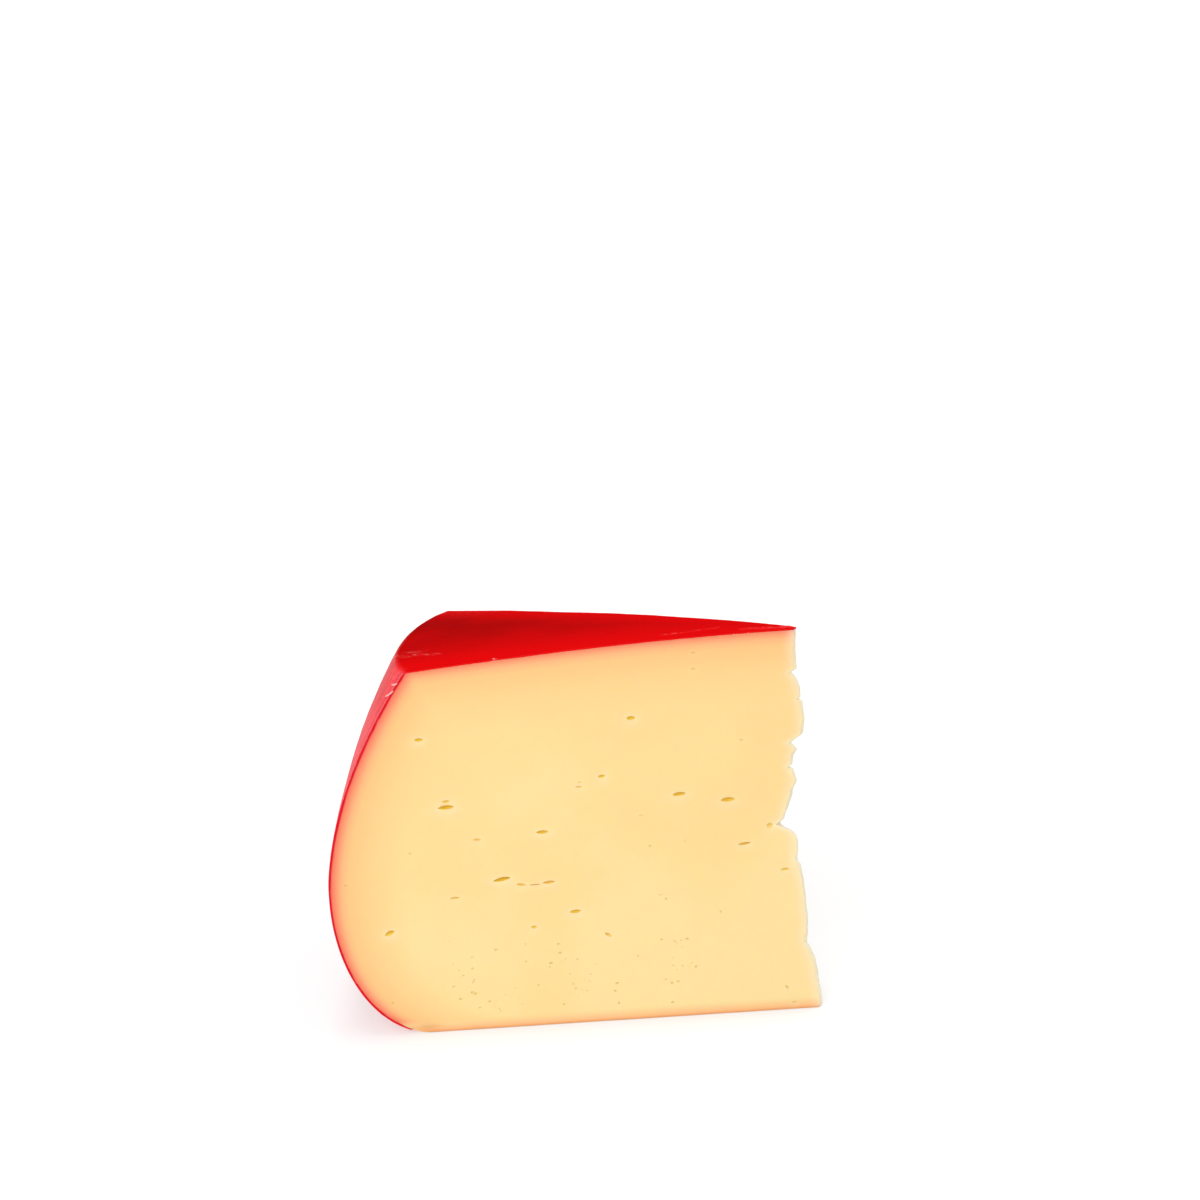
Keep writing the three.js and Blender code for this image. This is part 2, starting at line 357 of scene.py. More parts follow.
@dataclass(frozen=True)
class Wheel:
    """The whole wheel that the wedge comes from, as an outline turned about its axis."""

    radius: float = 150.65 * MM
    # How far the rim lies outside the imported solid's, to meet the outline in the photograph
    past_solid: float = 0.65 * MM
    bulge_height: float = 46 * MM
    shoulder_height: float = 111.4 * MM
    shoulder_inset: float = 23.25 * MM
    shoulder_rounding: float = 1.1 * MM
    side_power: float = 1.8
    foot_inset: float = 29.0 * MM
    crown_rise: float = 9.6 * MM
    crown_power: float = 1.65
    base_coat_height: float = 3 * MM
    # How finely the outline is drawn on the base, round the foot and over the edge of the top
    base_coarseness: float = 3
    foot_arc: float = 1.3
    rounding_steps: int = 8

    @property
    def shoulder_radius(self) -> float:
        """The radius of the edge of the top."""
        return self.radius - self.shoulder_inset

    @property
    def top(self) -> float:
        """The height of the middle of the top."""
        return self.shoulder_height + self.crown_rise

    def side_radius(self, height: Array) -> Array:
        """Gives the wheel's radius at a height.

        Args:
            height: Heights above the base.

        Returns:
            The radius of the side at each height.
        """
        side_height = self.shoulder_height - self.bulge_height
        above = np.clip((height - self.bulge_height) / side_height, 0, None)
        below = np.clip((self.bulge_height - height) / self.bulge_height, 0, 1)
        inset = self.shoulder_inset * above ** self.side_power
        return self.radius - inset - self.foot_inset * (1 - np.sqrt(1 - below ** 2))

    def crown_height(self, radius: Array) -> Array:
        """Gives the height of the domed top.

        Args:
            radius: Distances from the axis.

        Returns:
            The height of the top at each distance.
        """
        share = np.clip(radius / self.shoulder_radius, 0, None)
        return self.shoulder_height + self.crown_rise * (1 - share ** self.crown_power)

    def on_top(self, points: Array) -> Array:
        """Tells which places lie as high as the top, its rounded edge included."""
        return points[:, 2] > self.shoulder_height - self.shoulder_rounding

    def outline(self, spacing: float) -> Array:
        """Draws half of the wheel's section, from the middle of the base to the middle of the top.

        Args:
            spacing: The distance between two points.

        Returns:
            One row of radius and height for each point.
        """
        foot_radius = self.radius - self.foot_inset
        base_steps = int(foot_radius / spacing / self.base_coarseness)
        base = [(radius, 0.0) for radius in np.linspace(0, foot_radius, base_steps, endpoint=False)]
        foot_steps = int(self.foot_arc * self.bulge_height / spacing)
        turns = np.linspace(0, math.pi / 2, foot_steps, endpoint=False)
        foot = [(self.radius - self.foot_inset * (1 - math.sin(t)), self.bulge_height * (1 - math.cos(t)))
                for t in turns]
        side_end = self.shoulder_height - self.shoulder_rounding
        heights = np.linspace(self.bulge_height, side_end, int((side_end - self.bulge_height) / spacing))
        side = list(zip(self.side_radius(heights), heights))
        start = np.array(side[-1])
        corner = np.array((self.shoulder_radius, self.shoulder_height))
        crown_start = self.shoulder_radius - self.shoulder_rounding
        end = np.array((crown_start, self.crown_height(np.array(crown_start))))
        shares = np.linspace(0, 1, self.rounding_steps + 1)[1:-1]
        rounding = [start * (1 - s) ** 2 + corner * 2 * s * (1 - s) + end * s ** 2 for s in shares]
        radii = np.linspace(crown_start, 0, int(crown_start / spacing))
        crown = list(zip(radii, self.crown_height(radii)))
        return np.array(base + foot + side + [tuple(p) for p in rounding] + crown)

    def under_coat(self, outline: Array, coat: Coat) -> Array:
        """Moves an outline in by the thickness of the coat.

        Args:
            outline: One row of radius and height for each point.
            coat: The thickness on each side.

        Returns:
            The outline of what the coat lies on.
        """
        along = np.gradient(outline, axis=0)
        along /= np.linalg.norm(along, axis=1)[:, None]
        inwards = np.stack([-along[:, 1], along[:, 0]], axis=1)
        inner = outline + inwards * self.thickness(outline, coat)[:, None]
        inner[:, 0] = np.where(outline[:, 0] == 0, 0, np.clip(inner[:, 0], 0, None))
        return inner

    def thickness(self, outline: Array, coat: Coat) -> Array:
        """Gives the thickness of the coat along an outline.

        Args:
            outline: One row of radius and height for each point.
            coat: The thickness on each side.

        Returns:
            The thickness at each point.
        """
        height = outline[:, 1]
        on_base = np.clip(1 - height / self.base_coat_height, 0, 1)
        over_edge = height - self.shoulder_height + self.shoulder_rounding
        on_top = np.clip(over_edge / self.shoulder_rounding, 0, 1)
        return coat.side + (coat.base - coat.side) * on_base + (coat.top - coat.side) * on_top


@dataclass(frozen=True)
class Cuts:
    """The two knife cuts, which meet at the point and miss the wheel's axis."""

    tip: Vector
    wedge_angle: float = math.radians(36)
    axis_past_point: float = 8.8 * MM
    axis_behind_cut: float = 14.7 * MM
    point_at_foot: float = 9.0 * MM
    point_at_top: float = -2.5 * MM
    # How the rim stands out between the cuts and slumps beside them
    slump_length: float = 8 * MM
    slump_power: int = 6
    shoulder_swell: float = 1.7 * MM
    swell_from: float = 90 * MM
    waist: float = 1.15 * MM
    waist_from: float = 46 * MM
    # The sector of the wheel that the wedge is sawn from, as turns from -X towards +Y
    sector_from: float = math.radians(-97)
    sector_to: float = math.radians(33)

    @property
    def axis(self) -> Vector:
        """The middle of the wheel's base."""
        return self.tip + Vector((self.axis_past_point, self.axis_behind_cut, 0))

    def back_cut(self, wheel: Wheel) -> Matrix:
        """Gives the frame of the second cut: +X to the point, +Y out of the cheese, +Z up the cut.

        Args:
            wheel: The wheel that is cut.

        Returns:
            The frame as a matrix.
        """
        line = Vector((self.point_at_top - self.point_at_foot, 0, wheel.top))
        to_point = Vector((math.cos(self.wedge_angle), -math.sin(self.wedge_angle), 0))
        outwards = line.cross(to_point).normalized()
        up = to_point.cross(outwards)
        turn = Matrix((to_point, outwards, up)).transposed().to_4x4()
        return Matrix.Translation(self.tip + Vector((self.point_at_foot, 0, 0))) @ turn

    def front_cut(self) -> Matrix:
        """Gives the frame of the front cut, with +Y into the cheese and +X to the point."""
        return Matrix.Translation(self.tip)

    def planes(self, wheel: Wheel, allowance: float = 0.0) -> tuple[tuple[Vector, Vector], ...]:
        """Gives a point of each cut and the way out of the cheese there.

        Args:
            wheel: The wheel that is cut.
            allowance: How far outside the cuts the points lie.

        Returns:
            The point and the way out of the front cut, and those of the second one.
        """
        back = self.back_cut(wheel)
        front_out, back_out = Vector((0, -1, 0)), back.to_3x3() @ Vector((0, 1, 0))
        return ((self.tip + front_out * allowance, front_out),
                (back.translation + back_out * allowance, back_out))

    def in_back_frame(self, wheel: Wheel, points: Array) -> Array:
        """Gives places in the frame of the second cut.

        Args:
            wheel: The wheel that is cut.
            points: One row of X, Y and Z for each place.

        Returns:
            One row of X, Y and Z in that frame for each place.
        """
        inverse = np.array(self.back_cut(wheel).inverted())
        return points @ inverse[:3, :3].T + inverse[:3, 3]

    def polar(self, points: Array) -> tuple[Array, Array]:
        """Gives places by their distance from the wheel's axis and their turn about it.

        Args:
            points: One row of X, Y and Z for each place.

        Returns:
            The distances, and the turns from -X towards +Y.
        """
        off = points[:, :2] - np.array(self.axis.xy)
        return np.hypot(off[:, 0], off[:, 1]), np.arctan2(off[:, 1], -off[:, 0])

    def swell(self, wheel: Wheel, height: Array) -> Array:
        """Gives how much further out the rim is between the cuts than beside them.

        Args:
            wheel: The wheel that is cut.
            height: Heights above the base.

        Returns:
            The swell at each height.
        """
        rise = np.clip((height - self.swell_from) / (wheel.shoulder_height - self.swell_from), 0, 1)
        middle = np.clip((height - self.waist_from) / (self.swell_from - self.waist_from), 0, 1)
        return self.shoulder_swell * rise - self.waist * np.sin(middle * math.pi)

    def slump(self, wheel: Wheel, piece: bpy.types.Object) -> None:
        """Lets the rim of a piece stand out between the cuts and slump beside them.

        Args:
            wheel: The wheel that is cut.
            piece: A mesh turned about the wheel's axis.
        """
        points = points_of(piece)
        radius, turn = self.polar(points)
        first = -math.asin(self.axis_behind_cut / wheel.radius)
        last = first + self.wedge_angle
        from_cut = np.clip(np.minimum(turn - first, last - turn), 0, None) * wheel.radius
        from_axis = np.clip(radius / wheel.shoulder_radius, 0, 1)
        share = (1 - np.exp(-from_cut / self.slump_length)) * from_axis ** self.slump_power
        grown = self.swell(wheel, points[:, 2]) * share / np.maximum(radius, MM)
        points[:, :2] += (points[:, :2] - np.array(self.axis.xy)) * grown[:, None]
        move_points(piece, points)


@dataclass(frozen=True)
class TornPoint:
    """The break along the point, where thin paste crumbled off in flakes."""

    # Height and X of the outline that the break has on the front cut, in millimetres from the tip
    outline: tuple[tuple[float, float], ...] = (
        (-3.0, 6.3), (-0.2, 6.5), (0.9, 7.1), (5.4, 6.7), (9.6, 5.6), (12.3, 5.3), (16.1, 4.5), (19.1, 3.1),
        (22.1, 1.6), (25.1, 1.8), (30.3, 1.6), (32.5, 1.2), (38.4, 0.6), (44.3, -0.6), (47.3, -1.3),
        (49.0, -2.3), (52.2, -2.1), (54.8, -2.3), (56.8, -2.8), (58.5, -4.4), (59.4, -6.6), (60.5, -8.7),
        (62.2, -6.7), (64.7, -6.0), (66.7, -5.3), (69.9, -4.4), (71.5, -4.2), (74.3, -3.1), (77.8, -4.4),
        (78.5, -5.9), (79.1, -4.8), (82.2, -4.4), (83.9, -3.4), (86.0, -5.6), (88.1, -2.6), (88.7, -1.9),
        (90.2, -1.6), (92.7, -1.4), (96.5, -2.0), (98.8, -2.4), (99.3, -3.6), (99.8, -2.8), (102.7, -3.1),
        (105.2, -4.1), (106.5, -5.0), (107.4, -6.1), (108.3, -4.5), (108.8, -4.3), (113.8, -4.8),
        (116.8, -4.9), (120.5, -4.8), (127.0, -4.8),
    )
    calm_from: float = 1.5 * MM
    calm_at: float = 6.5 * MM
    calm_span: float = 15 * MM
    calm_levels: int = 400
    dip: float = 0.2
    lip: float = 1.4 * MM
    lip_unevenness: float = 0.35
    lip_grain: float = 9 * MM
    lip_depth: float = 2 * MM
    slant: float = 0.25
    depth: float = 12 * MM
    reach: float = -13 * MM
    clear: float = 1.2 * MM
    length: float = 60 * MM
    rows: int = 340
    columns: int = 30
    # How rough it is, in millimetres: its lumps at the lip, how much more they are inside, its crumbs
    lumps: float = 0.12
    inner_lumps: float = 0.40
    lump_size: float = 4.2 * MM
    crumbs: float = 0.10
    crumb_size: tuple[float, float, float] = (1, 1.6 * MM, 1.1 * MM)
    # How pale the dry paste is on the break, and the painted highlight beside its edge on the cuts
    pale: float = 0.9
    pale_from: float = 0.05 * MM
    pale_span: float = 0.4 * MM
    highlight_beside: float = 0.75
    beside_span: float = 4.6 * MM
    beside_power: float = 1.3

    def edge(self, share: Array) -> tuple[Array, Array]:
        """Draws the edge of the break.

        Args:
            share: Places along the outline, from 0 at its foot to 1.

        Returns:
            Height and X of each place, from the tip's own origin.
        """
        table = np.array(self.outline) * MM
        lengths = np.hypot(*np.diff(table, axis=0).T)
        walked = np.concatenate([[0.0], np.cumsum(lengths)]) / lengths.sum()
        return np.interp(share, walked, table[:, 0]), np.interp(share, walked, table[:, 1])

    def calm(self, height: Array) -> Array:
        """Gives the break's outline without its nicks, which run out further in.

        Args:
            height: Heights above the base.

        Returns:
            X of the calm outline at each height, from the tip's own origin.
        """
        table = np.array(self.outline) * MM
        levels = np.linspace(table[0, 0], table[-1, 0], self.calm_levels)
        across = np.interp(levels, table[:, 0], table[:, 1])
        window = np.hanning(int(self.calm_span / (levels[1] - levels[0])))
        half = len(window) // 2
        padded = np.pad(across, half, mode="edge")
        calmed = np.convolve(padded, window / window.sum(), mode="same")[half:half + len(levels)]
        return np.interp(height, levels, calmed)

    def fall_back(self, depth: Array, height: Array) -> Array:
        """Gives how far the break lies behind its edge.

        Args:
            depth: Distances behind the front cut.
            height: Heights above the base.

        Returns:
            The distance back from the edge at each place.
        """
        up = np.stack([np.zeros_like(height), np.zeros_like(height), height], axis=1)
        lip = self.lip * (1 + self.lip_unevenness * rough(up, self.lip_grain, 4))
        rounded = lip * np.clip(1 - depth / self.lip_depth, 0, None) ** 2
        return rounded + self.slant * np.clip(depth - self.lip_depth, 0, None)

    def tool(self, tip: Vector) -> bpy.types.Object:
        """Builds the shape that is broken off.

        Args:
            tip: The tip's own origin.

        Returns:
            A closed block whose -X side is the break.
        """
        bpy.ops.mesh.primitive_grid_add(x_subdivisions=self.columns, y_subdivisions=self.rows, size=1)
        block = bpy.context.object
        points = points_of(block)
        depth = (points[:, 0] + 0.5) * (self.depth + self.clear) - self.clear
        height, across = self.edge(points[:, 1] + 0.5)
        calmed = np.clip((depth - self.calm_from) / (self.calm_at - self.calm_from), 0, 1)
        across += (self.calm(height) - across) * calmed
        face = np.stack([np.zeros_like(depth), depth, height - self.dip * depth], axis=1)
        lumps = (self.lumps + self.inner_lumps * calmed) * rough(face, self.lump_size, 1)
        crumbs = self.crumbs * rough(face, self.crumb_size, 2)
        face[:, 0] = across - self.fall_back(depth, height) + (lumps + crumbs) * MM
        move_points(block, face + np.array(tip))
        draw_out(block, (self.length, 0, 0))
        return block

    def paleness(self, places: Array, depth: Array) -> Array:
        """Gives how pale the dry paste is at the break, with a painted highlight beside its edge.

        Args:
            places: One row of X, Y and Z from the tip for each place.
            depth: How far each place lies behind the nearer cut.

        Returns:
            Numbers from 0 to 1.
        """
        broken = np.clip((depth - self.pale_from) / self.pale_span, 0, 1)
        table = np.array(self.outline) * MM
        from_edge = np.interp(places[:, 2], table[:, 0], table[:, 1]) - places[:, 0]
        beside = self.highlight_beside * np.clip(1 - from_edge / self.beside_span, 0, 1) ** self.beside_power
        return np.maximum(broken * self.pale, beside)


@dataclass(frozen=True)
class Eye:
    """One of the small flat holes that the gas left, on a cut."""

    along: float
    height: float
    width: float
    opening: float
    tilt: float = 0.0
    gold: float = 1.0
    depth: float = 0.20
    least_depth: float = 0.35
    sink: float = 0.15
    taper: float = 0.25
    margin: float = 0.2
    # The lit lower lip below it, where the face dips and a highlight is painted: its width and height
    # as shares of the eye's, and how far down it lies
    lit_lip_width: float = 0.75
    lit_lip_height: float = 0.9
    lit_lip_drop: float = 0.5

    def lens(self, cut: Matrix, inwards: float) -> bpy.types.Object:
        """Models the hollow as a lens that is sunk into a cut.

        Args:
            cut: The cut's frame.
            inwards: 1 where +Y of that frame points into the cheese, else -1.

        Returns:
            The closed lens.
        """
        bpy.ops.mesh.primitive_uv_sphere_add(segments=20, ring_count=12, radius=1)
        shape = bpy.context.object
        with editing(shape):
            bpy.ops.transform.rotate(value=math.pi / 2, orient_axis="Y", center_override=(0, 0, 0))
        points = points_of(shape)
        taper = np.clip(1 - points[:, 0] ** 2, 0, 1) ** self.taper
        points[:, 1:] *= taper[:, None]
        hollow = max(self.width * self.depth, self.least_depth)
        move_points(shape, points * np.array((self.width / 2, hollow, self.opening / 2)) * MM)
        sink = self.sink * hollow * inwards
        place = Matrix.Translation(Vector((self.along, sink, self.height)) * MM)
        shape.data.transform(cut @ place @ Matrix.Rotation(math.radians(-self.tilt), 4, "Y"))
        return shape

    def covers(self, places: Array) -> Array:
        """Tells which places lie inside the eye's outline, or just beside it.

        Args:
            places: One row of X, Y and Z for each place, in the cut's frame.

        Returns:
            One truth value for each place.
        """
        turn = math.radians(self.tilt)
        right, up = places[:, 0] / MM - self.along, places[:, 2] / MM - self.height
        along = (right * math.cos(turn) + up * math.sin(turn)) / (self.width / 2 + self.margin)
        across = (up * math.cos(turn) - right * math.sin(turn)) / (self.opening / 2 + self.margin)
        return along ** 2 + across ** 2 < 1

    def lit_lip(self, places: Array) -> Array:
        """Gives how near places on the cut lie to the eye's lower lip, where a highlight is painted.

        Args:
            places: One row of X, Y and Z for each place, in the cut's frame.

        Returns:
            Numbers from 0, far away, to 1.
        """
        across = (places[:, 0] / MM - self.along) / (self.lit_lip_width * self.width)
        drop = places[:, 2] / MM - self.height + self.lit_lip_drop
        up = drop / (self.lit_lip_height * self.opening + self.lit_lip_drop)
        return np.exp(-across ** 2 - up ** 2)


@dataclass(frozen=True)
class Cluster:
    """A patch of pinholes on a cut: where it lies, in millimetres, and how many there are."""

    along: tuple[float, float]
    height: tuple[float, float]
    count: int


@dataclass(frozen=True)
class Crease:
    """A fold, a drag mark or a dent in the wax of the top.

    The path's points are X and Y from the tip, and the rest is in millimetres.
    """

    path: tuple[tuple[float, float], ...]
    height: float
    width: float
    whitened: float = 0.0

    def closeness(self, places: Array) -> Array:
        """Gives how near places are to the crease.

        Args:
            places: One row of X, Y and Z from the tip for each place.

        Returns:
            Numbers from 0, far away, to 1.
        """
        least = np.full(len(places), np.inf)
        for start, end in zip(self.path, self.path[1:]):
            first, step = np.array(start) * MM, (np.array(end) - np.array(start)) * MM
            share = np.clip((places[:, :2] - first) @ step / (step @ step), 0, 1)
            away = places[:, :2] - first - share[:, None] * step
            least = np.minimum(least, np.hypot(away[:, 0], away[:, 1]))
        return np.exp(-(least / (self.width * MM)) ** 2)


@dataclass(frozen=True)
class Shaving:
    """A curl of wax that the knife pushed out over the edge of the rim, in millimetres and degrees."""

    along: float
    height: float
    length: float
    width: float
    turn: float
    lift: float = 0.55
    thickness: float = 0.16
    taper: float = 0.85
    lean: float = 0.4
    sag: float = 0.25
    whitened: float = 0.6

    def build(self, cut: Matrix) -> bpy.types.Object:
        """Models the curl.

        Args:
            cut: The frame of the cut that it sits on.

        Returns:
            The closed curl.
        """
        bpy.ops.mesh.primitive_grid_add(x_subdivisions=14, y_subdivisions=4, size=1)
        curl = bpy.context.object
        points = points_of(curl)
        along, across = points[:, 0] * 2, points[:, 1] * 2
        slim = np.sqrt(np.clip(1 - self.taper * along ** 2, 0, 1))
        out = -self.lift * (1 - along ** 2) * (1 - self.lean + self.lean * across)
        up = across * self.width / 2 * slim + self.sag * self.width * along ** 2
        move_points(curl, np.stack([along * self.length / 2, out, up], axis=1) * MM)
        apply_modifier(curl, "SOLIDIFY", thickness=self.thickness * MM, offset=0)
        place = Matrix.Translation(Vector((self.along, 0, self.height)) * MM)
        curl.data.transform(cut @ place @ Matrix.Rotation(math.radians(-self.turn), 4, "Y"))
        return curl

    def covers(self, places: Array) -> Array:
        """Tells which places lie in front of the cut and close to the curl.

        Args:
            places: One row of X, Y and Z from the tip for each place.

        Returns:
            One truth value for each place.
        """
        away = np.hypot(places[:, 0] / MM - self.along, places[:, 2] / MM - self.height)
        return (places[:, 1] < -0.02 * MM) & (away < self.whitened * self.length)


# Finishes


@dataclass(frozen=True)
class CutPaste:
    """Young semi-hard cheese cut by a wire or a thin knife: a smooth, faintly moist, waxy face.

    It lets light in a few millimetres, so it looks soft and even, and it is tinted salmon where the
    wax's red shines through from behind, as a painted red glow, and tan along the dry rind of the
    base. Highlights are painted below the eyes and beside the torn edge, and shade in the eyes and
    pinholes.
    """

    name: str = "semi_hard_cheese_paste"
    body: str = "#fddc9a"
    warm: str = "#fdd998"
    pale: str = "#fee0a2"
    # The dry torn paste, paler itself and partly a painted highlight where its lip rounds away
    torn: str = "#faedd2"
    # The eyes' gold, partly their own deeper yellow and partly painted shade, and a deeper gold of painted
    # shade on their upper walls
    hollow: str = "#eecb46"
    shaded_hollow: str = "#e4b01a"
    # Painted shade: the darker tan in the pinholes
    pin: str = "#e2c878"
    # Painted highlight on the lit lower lip below each eye
    lit_lip: str = "#fde6bc"
    dry: str = "#d99650"
    # Distance from the wax or the base in millimetres, and the colour there
    under_wax: tuple[tuple[float, str], ...] = (
        (0.0, "#ff544c"), (0.5, "#ff8063"), (1.8, "#ffa075"), (3.2, "#ffbb84"), (5.0, "#fdc988"),
        (12.0, "#fdd492"), (26.0, "#fddc9a"),
    )
    over_base: tuple[tuple[float, str], ...] = (
        (0.0, "#c98452"), (0.3, "#eb9f66"), (0.8, "#fdb980"), (1.5, "#fdc88e"), (2.6, "#fdd396"),
        (4.5, "#fddc9a"),
    )
    tint_fades_from: float = 0.5
    # How much paler it is at the base than at the height given, as a share of the drift
    settling: float = 0.20
    settled_height: float = 110 * MM
    # Lumps per metre: of the slow drift of colour, of the curd that knitted together, of its grain
    drift_scale: float = 26
    curd_scale: float = 330
    grain_scale: float = 2500
    grain_share: float = 0.35
    relief: float = 0.12
    relief_depth: float = 0.3 * MM
    moist_roughness: float = 0.36
    dry_roughness: float = 0.50

    def material(self) -> bpy.types.Material:
        """Mixes the paste's material.

        Returns:
            The material.
        """
        material, tree, shader, place = start_material(self.name, {
            "IOR": 1.44, "Specular IOR Level": 0.25, "Subsurface Weight": 0.4,
            "Subsurface Radius": (1.0, 0.6, 0.28), "Subsurface Scale": 2.5 * MM,
        })

        # Slow drift of colour over about 40 mm, and paler towards the base
        drift = add_node(tree, "TexNoise", {}, {"Vector": place, "Scale": self.drift_scale, "Detail": 3})
        height = add_node(tree, "SeparateXYZ", {}, {0: place}).outputs["Z"]
        settled = add_node(tree, "MapRange", {}, {
            "Value": height, "From Max": self.settled_height,
            "To Min": self.settling, "To Max": -self.settling,
        })
        drifted = add_node(tree, "Math", {"operation": "ADD"}, {0: drift, 1: settled})
        tone = add_node(tree, "ValToRGB", {}, {"Fac": drifted})
        set_stops(tone, ((0.30, self.warm), (0.50, self.body), (0.70, self.pale)))

        # The painted red glow near the wax, and the tan of the dry rind above the base
        colour = self.tinted_by_distance(tree, tone.outputs["Color"], "from_wax", self.under_wax)
        colour = self.tinted_by_distance(tree, colour, "from_base", self.over_base)
        # Painted over it: the dry patch, a painted highlight below each eye, the paler torn paste with a
        # painted highlight beside its edge, painted shade in the pinholes, the eyes' gold and painted shade
        # on their upper walls
        layers = [
            (add_node(tree, "Attribute", {"attribute_name": name}, {}).outputs["Fac"], tint)
            for name, tint in (("dry", self.dry), ("lit_lip", self.lit_lip), ("torn", self.torn),
                               ("pin", self.pin), ("hollow", self.hollow), ("deep", self.shaded_hollow))
        ]
        tree.links.new(layered(tree, colour, layers), shader.inputs["Base Color"])

        # The curd's lumps of about 3 mm and its grain of about 0.4 mm
        curd = add_node(tree, "TexNoise", {}, {"Vector": place, "Scale": self.curd_scale, "Detail": 2})
        grain = add_node(tree, "TexNoise", {}, {"Vector": place, "Scale": self.grain_scale, "Detail": 2})
        relief = add_node(
            tree, "Math", {"operation": "MULTIPLY_ADD"}, {0: grain, 1: self.grain_share, 2: curd},
        )
        bump = add_node(
            tree, "Bump", {}, {"Strength": self.relief, "Distance": self.relief_depth, "Height": relief},
        )
        tree.links.new(bump.outputs["Normal"], shader.inputs["Normal"])
        moist = add_node(
            tree, "MapRange", {},
            {"Value": curd, "To Min": self.moist_roughness, "To Max": self.dry_roughness},
        )
        tree.links.new(moist.outputs[0], shader.inputs["Roughness"])
        return material

    def tinted_by_distance(self, tree: bpy.types.NodeTree, colour: bpy.types.NodeSocket, attribute: str,
                stops: tuple[tuple[float, str], ...]) -> bpy.types.NodeSocket:
        """Tints the paste by distance: a painted red glow by the wax, the dry rind's tan by the base.
            attribute: The distance in millimetres, as painted on the piece.
            stops: Distances and the colours there.

        Returns:
            The tinted colour.
        """
        reach = stops[-1][0]
        distance = add_node(tree, "Attribute", {"attribute_name": attribute}, {}).outputs["Fac"]
        share = add_node(tree, "Math", {"operation": "DIVIDE"}, {0: distance, 1: reach})
        distance_tint = add_node(tree, "ValToRGB", {}, {"Fac": share})
        set_stops(distance_tint, [(at / reach, shade) for at, shade in stops])
        fade = add_node(tree, "MapRange", SOFT, {"Value": share, "From Min": self.tint_fades_from})
        return add_node(tree, "Mix", COLOURS, {"Factor": fade, 6: distance_tint, 7: colour}).outputs[2]


